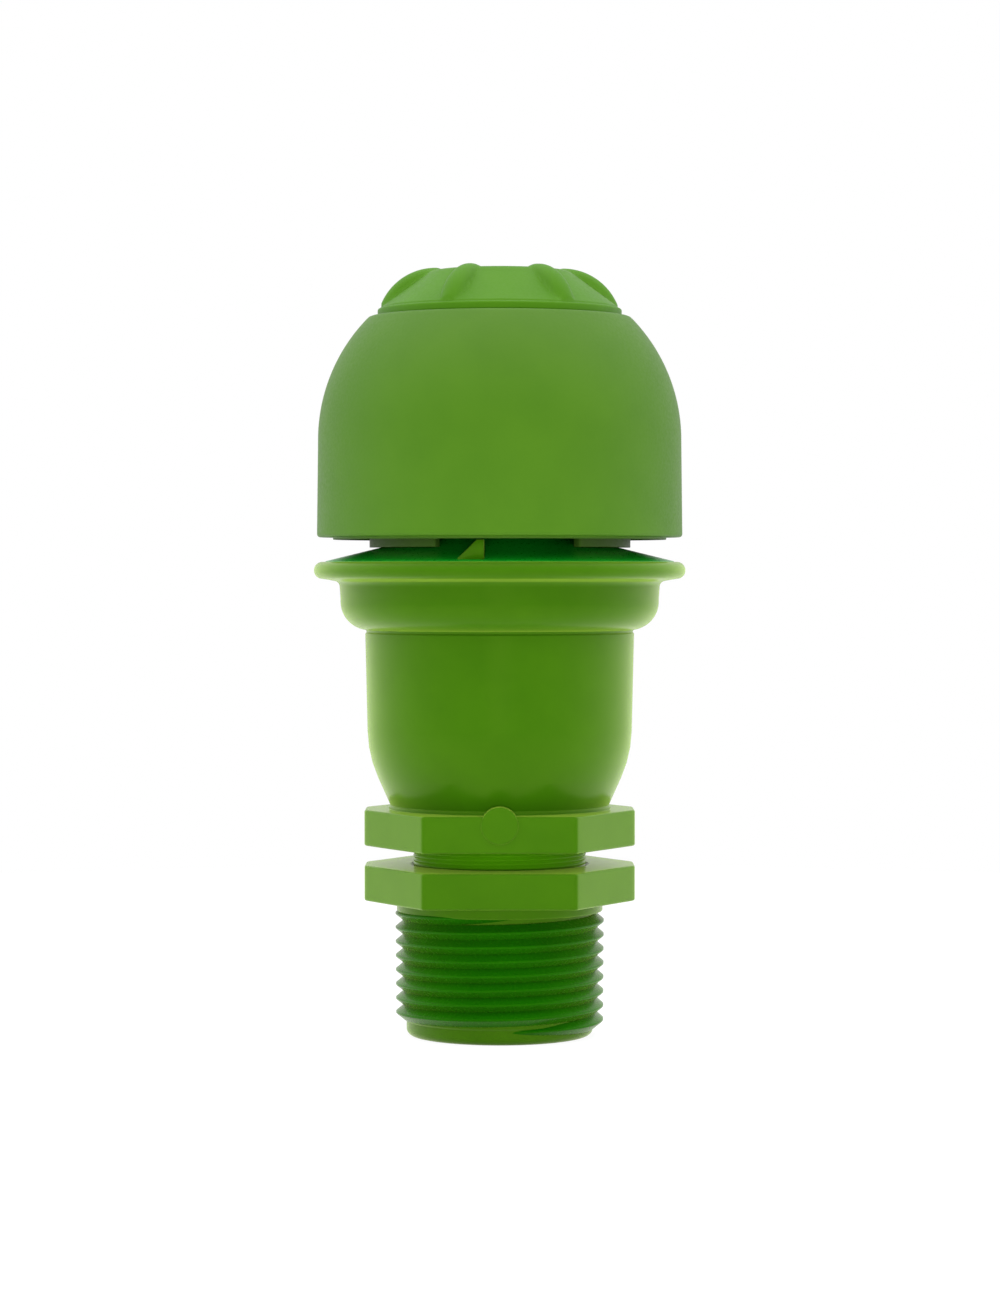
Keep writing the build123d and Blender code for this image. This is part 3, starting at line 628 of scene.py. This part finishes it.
def soft_max(a, b, k):
    """Larger of two heights, with a fillet where they are closer than k: max + (k - |a - b|)^2 / 4k."""
    near = np.clip(k - np.abs(a - b), 0, None)
    return np.maximum(a, b) + near * near / (4 * k)


def rib_height(r, t):
    """Top of the nearest rib: z = zc + sqrt((R + h)^2 - (x - xc)^2) with h = sqrt(q^2 - y^2), where x and y
    run along and across the rib, q is the bar's radius and R that of its centre line. Inside xc it is a
    ball."""
    offset = (t - FRONT - RIB_TURN + TURN / 12) % (TURN / 6) - TURN / 12
    x, y = r * np.cos(offset), r * np.sin(offset)
    reach = RIB_CREST_R - RIB_ROUND_R
    h2 = RIB_ROUND_R ** 2 - y ** 2
    h = np.sqrt(np.clip(h2, 0, None))
    bar2 = (reach + h) ** 2 - np.clip(x - RIB_CENTRE[0], 0, None) ** 2
    bar = RIB_CENTRE[1] + np.sqrt(np.clip(bar2, 0, None))
    ball2 = h2 - np.clip(RIB_CENTRE[0] - x, 0, None) ** 2
    ball = RIB_CENTRE[1] + reach + np.sqrt(np.clip(ball2, 0, None))
    z = np.where(x < RIB_CENTRE[0], np.where(ball2 > 0, ball, 0), np.where(h2 > 0, bar, 0))
    return z


def knob_top(r, t):
    """Height of the knob's face: the cone and its flat top, and the ribs."""
    (r0, z0), (r1, z1) = KNOB_CONE
    slope = (z1 - z0) / (r0 - r1)
    cone = z1 - soft_max((r - r1) * slope, np.zeros_like(r), KNOB_CROWN_FILLET)
    return soft_max(cone, rib_height(r, t), KNOB_FILLET)


rib_at = np.array([15.0])
print("cone and rib at r = 15 mm, z:", knob_top(rib_at, FRONT + RIB_TURN + TURN / 12).round(2),
      knob_top(rib_at, FRONT + RIB_TURN).round(2))

# %% [markdown]
# The knob is hollow below, with a hub for its brass insert. One closed grid covers it all: the
# lower edge and ring as an outline, the height field inwards to the centre, and the underside back
# out. Two surfaces joined along their edges would do, but a seam is where shading breaks.

# %% The knob
KNOB_RING_R = 19.03
KNOB_BOTTOM = LEDGE_Z + 0.05
KNOB_RING_TOP = 113.35
KNOB_FLAT_R = 7.4
KNOB_CENTRE_R = 0.02
KNOB_WALL_R = 16.2
KNOB_INSERT = (5.8, 113.3, 116.4)
KNOB_SEAT_R = 7.5
KNOB_HUB = (8.1, 112.8)
KNOB_ROOF = (10.2, 116.65)
KNOB_WALL_TOP = 113.15


def knob_shell():
    """Grid over angle t and outline: x = r cos t, y = r sin t, and z from the outline or, on the top, from
    knob_top(r, t)."""
    t = np.radians(np.arange(0, 360, 0.75))
    ring = rounded([(17.6, KNOB_BOTTOM, 0), (KNOB_RING_R, KNOB_BOTTOM, 0.15),
                    (KNOB_RING_R, KNOB_RING_TOP, 0.35), (KNOB_CONE[0][0] + 0.12, KNOB_RING_TOP + 0.02, 0.15),
                    (KNOB_CONE[0][0] + 0.04, 113.45, 0)])
    face_r = np.concatenate([np.linspace(KNOB_CONE[0][0], KNOB_FLAT_R, 62),
                             np.linspace(KNOB_FLAT_R - 0.4, KNOB_CENTRE_R, 12)])
    insert_r, insert_low, insert_high = KNOB_INSERT
    hub_r, hub_low = KNOB_HUB
    under = rounded([(KNOB_CENTRE_R, insert_high, 0), (insert_r, insert_high, 0.1),
                     (insert_r, insert_low, 0.1), (KNOB_SEAT_R, insert_low, 0.1), (KNOB_SEAT_R, hub_low, 0.1),
                     (hub_r, hub_low, 0.1), (hub_r, KNOB_ROOF[1], 0.3), (*KNOB_ROOF, 0.5),
                     (KNOB_WALL_R, KNOB_WALL_TOP, 0.2), (KNOB_WALL_R, KNOB_BOTTOM, 0.1),
                     (17.5, KNOB_BOTTOM, 0)])
    r = np.concatenate([ring[:, 0], face_r, under[:, 0]])
    z = np.broadcast_to(np.concatenate([ring[:, 1], face_r * 0, under[:, 1]]), (len(t), len(r))).copy()
    face = slice(len(ring), len(ring) + len(face_r))
    z[:, face] = knob_top(np.broadcast_to(face_r, (len(t), len(face_r))), t[:, None])
    x, y = r * np.cos(t)[:, None], r * np.sin(t)[:, None]
    return grid_shell(np.stack([x, y, z], -1))


knob = make_piece("knob_skin", [knob_shell()], "knob", "knob_plastic", "knob")

# %% [markdown]
# Colours are written as sRGB hex values, read off as one would from a paint card, and turned to
# the linear values that a shader needs by one function.

# %% Colour and node helpers


def linear(code, alpha=1.0):
    """sRGB hex to linear: c / 12.92 below 0.04045, else ((c + 0.055) / 1.055) ** 2.4."""
    c = np.array([int(code[k:k + 2], 16) for k in (1, 3, 5)]) / 255
    c = np.where(c <= 0.04045, c / 12.92, ((c + 0.055) / 1.055) ** 2.4)
    return (*c.tolist(), alpha)


def add(tree, kind, links=(), **settings):
    """Adds a node. A setting that is one of the node's own properties sets that, and any other sets the
    value of the input with that name, with spaces for underscores. Links are (output socket, input) pairs."""
    node = tree.nodes.new(kind)
    for key, value in settings.items():
        name = key.replace("_", " ")
        if hasattr(node, key):
            setattr(node, key, value)
        else:
            node.inputs[name].default_value = value
    for source, target in links:
        tree.links.new(source, node.inputs[target])
    return node


print("middle grey #808080 is", round(linear("#808080")[0], 3), "in linear light")


# %% [markdown]
# Injection-moulded plastic. The colour is never quite even: the pigment drifts over a few
# millimetres, and the skin has a very fine grain from the mould, with broad, faint waves where
# the wall cooled. Glossy pieces have a low roughness, satin ones come from a spark-eroded mould
# with a visible grain. Grain finer than a pixel is drawn as coarse as it needs to show. The
# yellow-green edge that a translucent green plastic shows where one looks along its surface could
# be scattering below the skin. A little sheen gives the same look in far less time. The first
# plastic is that of body and adapter, a glossy glass-filled nylon.

# %% Moulded plastics
DRIFT_MM = 9
WAVE_MM = 14
SHEEN_ROUGHNESS = 0.5


def moulded_plastic(name, dark, light, roughness, grain_mm, grain_height, wave_height,
                    tint="#FFFFFF", ior=1.49, sheen=0.0, sheen_tint="#FFFFFF"):
    """Principled plastic whose colour drifts between two tones, with grain and sink waves as bump."""
    material = bpy.data.materials.new(name)
    material.use_nodes = True
    tree = material.node_tree
    shader = tree.nodes["Principled BSDF"]
    shader.inputs["IOR"].default_value = ior
    shader.inputs["Specular Tint"].default_value = linear(tint)
    shader.inputs["Sheen Weight"].default_value = sheen
    shader.inputs["Sheen Roughness"].default_value = SHEEN_ROUGHNESS
    shader.inputs["Sheen Tint"].default_value = linear(sheen_tint)
    where = add(tree, "ShaderNodeTexCoord").outputs["Object"]
    drift = add(tree, "ShaderNodeTexNoise", [(where, "Vector")], Scale=1 / (DRIFT_MM * MM), Detail=3.0,
                Roughness=0.55)
    tone = add(tree, "ShaderNodeValToRGB", [(drift.outputs["Fac"], "Fac")])
    tone.color_ramp.elements[0].position = 0.32
    tone.color_ramp.elements[0].color = linear(dark)
    tone.color_ramp.elements[1].position = 0.68
    tone.color_ramp.elements[1].color = linear(light)
    tree.links.new(tone.outputs["Color"], shader.inputs["Base Color"])
    grain = add(tree, "ShaderNodeTexNoise", [(where, "Vector")], Scale=1 / (grain_mm * MM), Detail=2.0)
    gloss = add(tree, "ShaderNodeMapRange", [(grain.outputs["Fac"], "Value")], From_Min=0.3, From_Max=0.7,
                To_Min=roughness * 0.88, To_Max=roughness * 1.12)
    tree.links.new(gloss.outputs["Result"], shader.inputs["Roughness"])
    waves = add(tree, "ShaderNodeTexNoise", [(where, "Vector")], Scale=1 / (WAVE_MM * MM), Detail=1.0)
    sink = add(tree, "ShaderNodeBump", [(waves.outputs["Fac"], "Height")], Strength=1.0,
               Distance=wave_height * MM)
    skin = add(tree, "ShaderNodeBump", [(grain.outputs["Fac"], "Height"), (sink.outputs["Normal"], "Normal")],
               Strength=1.0, Distance=grain_height * MM)
    tree.links.new(skin.outputs["Normal"], shader.inputs["Normal"])
    return material


glossy_nylon = moulded_plastic(
    "Glossy moulded nylon", "#2F6402", "#346903", roughness=0.24, grain_mm=0.5, grain_height=0.003,
    wave_height=0.10, tint="#FFFF80", ior=1.32, sheen=0.38, sheen_tint="#D8FF60")
print(glossy_nylon.name, "has", len(glossy_nylon.node_tree.nodes), "nodes")

# %% [markdown]
# Some zones of this valve get painted light and painted shade over the moulding's own colour. Each
# such zone lies between two heights, so the tones are held in one ramp over the height: its colour
# is the tone and its alpha is the share that the tone takes. A vertex colour would do too, but needs
# edges in the mesh at every limit. The neck between the hexagons is the first zone: its paler tone
# is painted light, for the front light that reaches in between the hexagons.

# %% Painted light and shade by height
# The neck's paler tone is painted light, for the front light that reaches in between the hexagons.
NECK_PAINTED_LIGHT_ZONE = (26.9, 29.8)
NECK_PAINTED_LIGHT = "#4E9A04"


def painted_light_and_shade_by_height(material, tall_mm, stops):
    """Mixes painted light and shade into the colour: each stop is (z in mm, tone, share), at the place z /
    tall of a ramp over Object z / tall. The colour sockets of a Mix node share their names with its other
    sockets, so they are taken by number."""
    tree = material.node_tree
    base = tree.nodes["Principled BSDF"].inputs["Base Color"]
    even = base.links[0].from_socket
    where = add(tree, "ShaderNodeTexCoord").outputs["Object"]
    height = add(tree, "ShaderNodeSeparateXYZ", [(where, "Vector")]).outputs["Z"]
    part = add(tree, "ShaderNodeMapRange", [(height, "Value")], From_Max=tall_mm * MM)
    ramp = add(tree, "ShaderNodeValToRGB", [(part.outputs["Result"], "Fac")])
    places = ramp.color_ramp.elements
    places.remove(places[1])
    places[0].position = 0.0
    places[0].color = linear(stops[0][1], 0.0)
    for z, tone, share in stops:
        places.new(z / tall_mm).color = linear(tone, share)
    mixed = add(tree, "ShaderNodeMix", data_type="RGBA")
    for source, target in ((ramp.outputs["Alpha"], 0), (even, 6), (ramp.outputs["Color"], 7)):
        tree.links.new(source, mixed.inputs[target])
    tree.links.new(mixed.outputs[2], base)


# Painted light: the neck between the hexagons is painted paler.
painted_light_and_shade_by_height(glossy_nylon, 50.0, [
    (NECK_PAINTED_LIGHT_ZONE[0], NECK_PAINTED_LIGHT, 0), (NECK_PAINTED_LIGHT_ZONE[0] + 0.1, NECK_PAINTED_LIGHT, 0.9),
    (NECK_PAINTED_LIGHT_ZONE[1] - 0.1, NECK_PAINTED_LIGHT, 0.9), (NECK_PAINTED_LIGHT_ZONE[1], NECK_PAINTED_LIGHT, 0)])
print(glossy_nylon.name, "is paler from z", NECK_PAINTED_LIGHT_ZONE[0], "to", NECK_PAINTED_LIGHT_ZONE[1])

# %% [markdown]
# The other plastics. The pipe thread is darker and greener than the rest of the body: painted
# shade, for the shade in its grooves. The cover is a lighter, cooler green than the body: painted
# light, which lifts its cone in the shade under the dome. Dome and knob are satin, and the legs and
# the lip below the dome's rim are greyer and darker than its face: painted shade, for the dome's
# shade on them. What one can't see from outside is left in its natural white. The tones are
# matched to the photo, because nothing tells the real pigments.

# %% The other plastics
LIP_TOP_Z = 77.8
# Painted shade: the legs and lip below the dome's rim are greyer and darker, for the dome's shade on them.
LIP_PAINTED_SHADE = "#3A5B1C"

# Painted shade: the thread's darker, greener tones stand for the shade in its grooves.
thread_nylon_painted_shade = moulded_plastic(
    "Moulded nylon of the thread, with painted shade", "#085A00", "#0C6000", roughness=0.26, grain_mm=0.5, grain_height=0.0,
    wave_height=0.0, tint="#FFFF60", ior=1.23, sheen=0.12, sheen_tint="#D8FF50")
# Painted light: the cover's bright, cool green lifts its cone where the dome shades it.
cover_nylon_painted_light = moulded_plastic(
    "Moulded nylon, painted light for the dome's shade", "#0E9A20", "#11A024", roughness=0.30, grain_mm=0.5, grain_height=0.004,
    wave_height=0.05, tint="#C0FFC0", ior=1.40)
dome_polypropylene = moulded_plastic(
    "Satin moulded polypropylene", "#437211", "#477613", roughness=0.50, grain_mm=0.45, grain_height=0.008,
    wave_height=0.10, tint="#FFFFD0", ior=1.36)
# Painted shade on the legs and the lip below the dome's rim, up to z 77.8 mm.
painted_light_and_shade_by_height(dome_polypropylene, 120.0, [
    (70.0, LIP_PAINTED_SHADE, 1), (LIP_TOP_Z - 0.04, LIP_PAINTED_SHADE, 1), (LIP_TOP_Z, LIP_PAINTED_SHADE, 0)])
knob_acetal = moulded_plastic(
    "Satin moulded acetal", "#477C12", "#4C8115", roughness=0.50, grain_mm=0.45, grain_height=0.008,
    wave_height=0.05, tint="#FFFFD0", ior=1.27)
inner_acetal = moulded_plastic(
    "Natural moulded acetal", "#D8D5CC", "#E2DFD6", roughness=0.4, grain_mm=0.4, grain_height=0.006,
    wave_height=0.03)
float_polypropylene = moulded_plastic(
    "Natural moulded polypropylene", "#DAD7CB", "#E6E3D8", roughness=0.45, grain_mm=0.4, grain_height=0.006,
    wave_height=0.03)
print("materials so far:", len(bpy.data.materials))

# %% [markdown]
# The seals are moulded EPDM rubber: black, dull, with a fine bloom that lightens it in patches.
# The plastic helper does that too, with a high roughness and two near-black tones.

# %% Rubber


def moulded_rubber(name):
    """Dull black with a patchy grey bloom and a fine grain."""
    return moulded_plastic(name, "#141414", "#1E1E1D", roughness=0.62, grain_mm=0.3, grain_height=0.01,
                           wave_height=0.0, ior=1.52)


epdm_rubber = moulded_rubber("Moulded EPDM rubber")
print(epdm_rubber.name, "has", len(epdm_rubber.node_tree.nodes), "nodes")

# %% [markdown]
# The stud, washer and nut are turned stainless steel, and the small nozzle and the knob's insert
# are turned brass. A lathe leaves fine rings round the axis, so the roughness and a very shallow
# bump follow the distance along the axis. Anisotropic shading would show the same stretch of the
# highlights, but it needs tangents that fit every face. A metal keeps the default index of
# refraction.

# %% Turned metals
RING_DEPTH_MM = 0.01


def turned_metal(name, colour, worn, roughness, ring_mm):
    """Metal with lathe rings: a wave along z drives a little roughness and height. The Wave texture is
    (1 - cos(20 * scale * z)) / 2, so ring_mm is the width of a ring divided by 2 pi."""
    material = bpy.data.materials.new(name)
    material.use_nodes = True
    tree = material.node_tree
    shader = tree.nodes["Principled BSDF"]
    shader.inputs["Metallic"].default_value = 1.0
    where = add(tree, "ShaderNodeTexCoord").outputs["Object"]
    stain = add(tree, "ShaderNodeTexNoise", [(where, "Vector")], Scale=1 / (4 * MM), Detail=4.0)
    tone = add(tree, "ShaderNodeValToRGB", [(stain.outputs["Fac"], "Fac")])
    tone.color_ramp.elements[0].color = linear(worn)
    tone.color_ramp.elements[1].color = linear(colour)
    tree.links.new(tone.outputs["Color"], shader.inputs["Base Color"])
    rings = add(tree, "ShaderNodeTexWave", [(where, "Vector")], wave_type="BANDS", bands_direction="Z",
                Scale=1 / (ring_mm * MM) / 20, Distortion=0.4, Detail=2.0)
    gloss = add(tree, "ShaderNodeMapRange", [(rings.outputs["Fac"], "Value")], To_Min=roughness * 0.8,
                To_Max=roughness * 1.3)
    tree.links.new(gloss.outputs["Result"], shader.inputs["Roughness"])
    skin = add(tree, "ShaderNodeBump", [(rings.outputs["Fac"], "Height")], Strength=1.0,
               Distance=RING_DEPTH_MM * MM)
    tree.links.new(skin.outputs["Normal"], shader.inputs["Normal"])
    return material


stainless = turned_metal("Turned stainless steel", "#B9B9B6", "#A2A29F", roughness=0.28, ring_mm=0.25)
brass = turned_metal("Turned brass", "#D9B66A", "#C09A50", roughness=0.25, ring_mm=0.25)
print("metals:", stainless.name, "and", brass.name)

# %% [markdown]
# Every CAD node has a slot in the record, and a slot stands for one finish. So the nodes that show
# as they are take theirs from the slot, and the dressed pieces are given theirs by name.

# %% Give every piece its finish
FINISH = {
    "body_plastic": glossy_nylon, "cover_plastic": cover_nylon_painted_light, "dome_plastic": dome_polypropylene,
    "knob_plastic": knob_acetal, "inner_plastic": inner_acetal, "float_plastic": float_polypropylene,
    "rubber": epdm_rubber, "steel": stainless, "brass": brass,
}
slot_of = {entry["node"]: entry["material_slot"] for entry in frame["record"]["subparts"]}
for name, node in nodes.items():
    node.data.materials.clear()
    node.data.materials.append(FINISH[slot_of[name]])
dressed = [(inlet_adapter, glossy_nylon), (pipe_thread, thread_nylon_painted_shade), (main_body, glossy_nylon),
           (cover, cover_nylon_painted_light), (lugs, glossy_nylon), (dome_cap, dome_polypropylene), (knob, knob_acetal)]
for piece, finish in dressed:
    piece.data.materials.append(finish)
print("finished", len(nodes), "CAD nodes and", len(dressed), "dressed pieces")

# %% [markdown]
# The floor is a round white table top. Whatever looks at it, the camera, a gloss or a clear
# piece, sees it white with the valve's soft shadow. Only the light that it throws back onto the
# valve is that of a plain pale surface. The same kinds of ray see the background white, so one
# helper finds them for both. More light on a grey table would make it white too, but would wash
# out the valve.

# %% The table top
FLOOR_R = 320
FLOOR_TONE = "#D2D2D0"
FLOOR_GLOW = 0.92
FLOOR_SHADE = 0.12


def background_ray(tree):
    """1 for a ray that shows the background, else 0: the largest of three flags of the light path."""
    light_path = add(tree, "ShaderNodeLightPath")
    seen = light_path.outputs["Is Camera Ray"]
    for ray in ("Is Glossy Ray", "Is Transmission Ray"):
        either = add(tree, "ShaderNodeMath", [(seen, 0), (light_path.outputs[ray], 1)], operation="MAXIMUM")
        seen = either.outputs[0]
    return seen


def make_floor():
    """A disc whose background rays see a glow plus a faint matt surface, which takes the shadow, and whose
    other rays meet a matt pale one."""
    turn = np.linspace(0, TURN, 96, endpoint=False)
    rim = np.stack([np.cos(turn), np.sin(turn), 0 * turn], 1) * FLOOR_R * MM
    mesh = bpy.data.meshes.new("floor")
    mesh.from_pydata(rim.tolist(), [], [list(range(len(rim)))])
    floor = bpy.data.objects.new("floor", mesh)
    bpy.context.scene.collection.objects.link(floor)
    material = bpy.data.materials.new("White table top")
    material.use_nodes = True
    tree = material.node_tree
    matt = tree.nodes["Principled BSDF"]
    matt.inputs["Base Color"].default_value = linear(FLOOR_TONE)
    matt.inputs["Roughness"].default_value = 0.9
    matt.inputs["Specular IOR Level"].default_value = 0.0
    white = add(tree, "ShaderNodeEmission", Strength=FLOOR_GLOW)
    faint = add(tree, "ShaderNodeBsdfDiffuse", Color=(FLOOR_SHADE, FLOOR_SHADE, FLOOR_SHADE, 1))
    shaded = add(tree, "ShaderNodeAddShader", [(white.outputs[0], 0), (faint.outputs[0], 1)])
    surface = add(tree, "ShaderNodeMixShader",
                  [(background_ray(tree), "Fac"), (matt.outputs[0], 1), (shaded.outputs[0], 2)])
    tree.links.new(surface.outputs[0], tree.nodes["Material Output"].inputs["Surface"])
    mesh.materials.append(material)


make_floor()
print("table top", 2 * FLOOR_R, "mm wide")

# %% [markdown]
# The light. A tent is dark on the camera's side, grows brighter along its side walls towards the
# back and is a little dimmer straight behind the valve. With a bright ceiling added, that leaves
# the front of the turned shapes deeper than their flanks. A ring of lamps would do that too, but
# in streaks. One weak soft box, low behind the camera, lifts the front again. It leaves no
# reflection of its own: gloss shows the white background.

# %% Lamp and light tent
LAMP_PLACE = (0, -700, 50)
LAMP_TARGET = (0, 0, 45)
LAMP_SIZE = 220
LAMP_WATTS = 2.7
SIDES = ("Y", -0.70, 0.45, 2.0)
FAR_WALL = ("Y", 0.5, 0.85, 0.8)
CEILING = ("Z", 0.3, 0.9, 1.7)


def area_light(name, place, target, size, watts):
    """A square soft box at a place, turned to a target, without a reflection of its own."""
    light = bpy.data.lights.new(name, "AREA")
    light.size = size * MM
    light.energy = watts
    lamp = bpy.data.objects.new(name, light)
    bpy.context.scene.collection.objects.link(lamp)
    toward = np.array(target, float) - np.array(place, float)
    lamp.location = [value * MM for value in place]
    flat = np.hypot(toward[0], toward[1])
    lamp.rotation_euler = (np.arctan2(flat, -toward[2]), 0, np.arctan2(toward[1], toward[0]) - np.pi / 2)
    lamp.visible_glossy = False
    return lamp


def light_tent():
    """World whose strength for the light on the valve is sides - far wall + ceiling, and 1 for background
    rays. Each of the three rises evenly from 0 to its height between two values of the ray's direction."""
    world = bpy.data.worlds.new("Light tent")
    bpy.context.scene.world = world
    world.use_nodes = True
    sky = world.node_tree
    direction = add(sky, "ShaderNodeTexCoord").outputs["Generated"]
    axes = add(sky, "ShaderNodeSeparateXYZ", [(direction, "Vector")])
    parts = [add(sky, "ShaderNodeMapRange", [(axes.outputs[axis], "Value")], From_Min=start, From_Max=end,
                 To_Max=height).outputs["Result"] for axis, start, end, height in (SIDES, FAR_WALL, CEILING)]
    sides = add(sky, "ShaderNodeMath", [(parts[0], 0), (parts[1], 1)], operation="SUBTRACT")
    walls = add(sky, "ShaderNodeMath", [(sides.outputs[0], 0), (parts[2], 1)], operation="ADD")
    strength = add(sky, "ShaderNodeMix", [(background_ray(sky), "Factor"), (walls.outputs[0], "A")])
    strength.inputs["B"].default_value = 1.0
    background = sky.nodes["Background"]
    background.inputs["Color"].default_value = (1, 1, 1, 1)
    sky.links.new(strength.outputs["Result"], background.inputs["Strength"])
    return world


lamp = area_light("front fill", LAMP_PLACE, LAMP_TARGET, LAMP_SIZE, LAMP_WATTS)
print("lamp", lamp.data.energy, "W and", light_tent().name)

# %% [markdown]
# The camera stands where the photographer's did. Its height and distance were worked out from how
# the rims open: a rim at the eye's height is seen as a line, and one below it as an ellipse. The
# focal length in pixels then follows from the valve's size. A shifted lens could keep the camera
# level, but a slight tilt down matches the upright edges as well.

# %% Camera
EYE_Z = 72.7
EYE_DISTANCE = 562.5
AXIS_X_MM = 0.05
PIXELS_TALL = 1300
FOCAL_PIXELS = 3600
HORIZON_OFFSET_PIXELS = 80
SENSOR_MM = 36.0

camera = bpy.data.cameras.new("camera")
camera.sensor_width = SENSOR_MM
camera.lens = SENSOR_MM * FOCAL_PIXELS / PIXELS_TALL
camera.clip_start = 0.05
camera.clip_end = 20
view = bpy.data.objects.new("camera", camera)
bpy.context.scene.collection.objects.link(view)
view.location = (AXIS_X_MM * MM, -EYE_DISTANCE * MM, EYE_Z * MM)
view.rotation_euler = (np.pi / 2 - np.arctan(HORIZON_OFFSET_PIXELS / FOCAL_PIXELS), 0, 0)
bpy.context.scene.camera = view
bpy.context.scene.view_settings.view_transform = "Standard"
print("lens", round(camera.lens, 2), "mm")
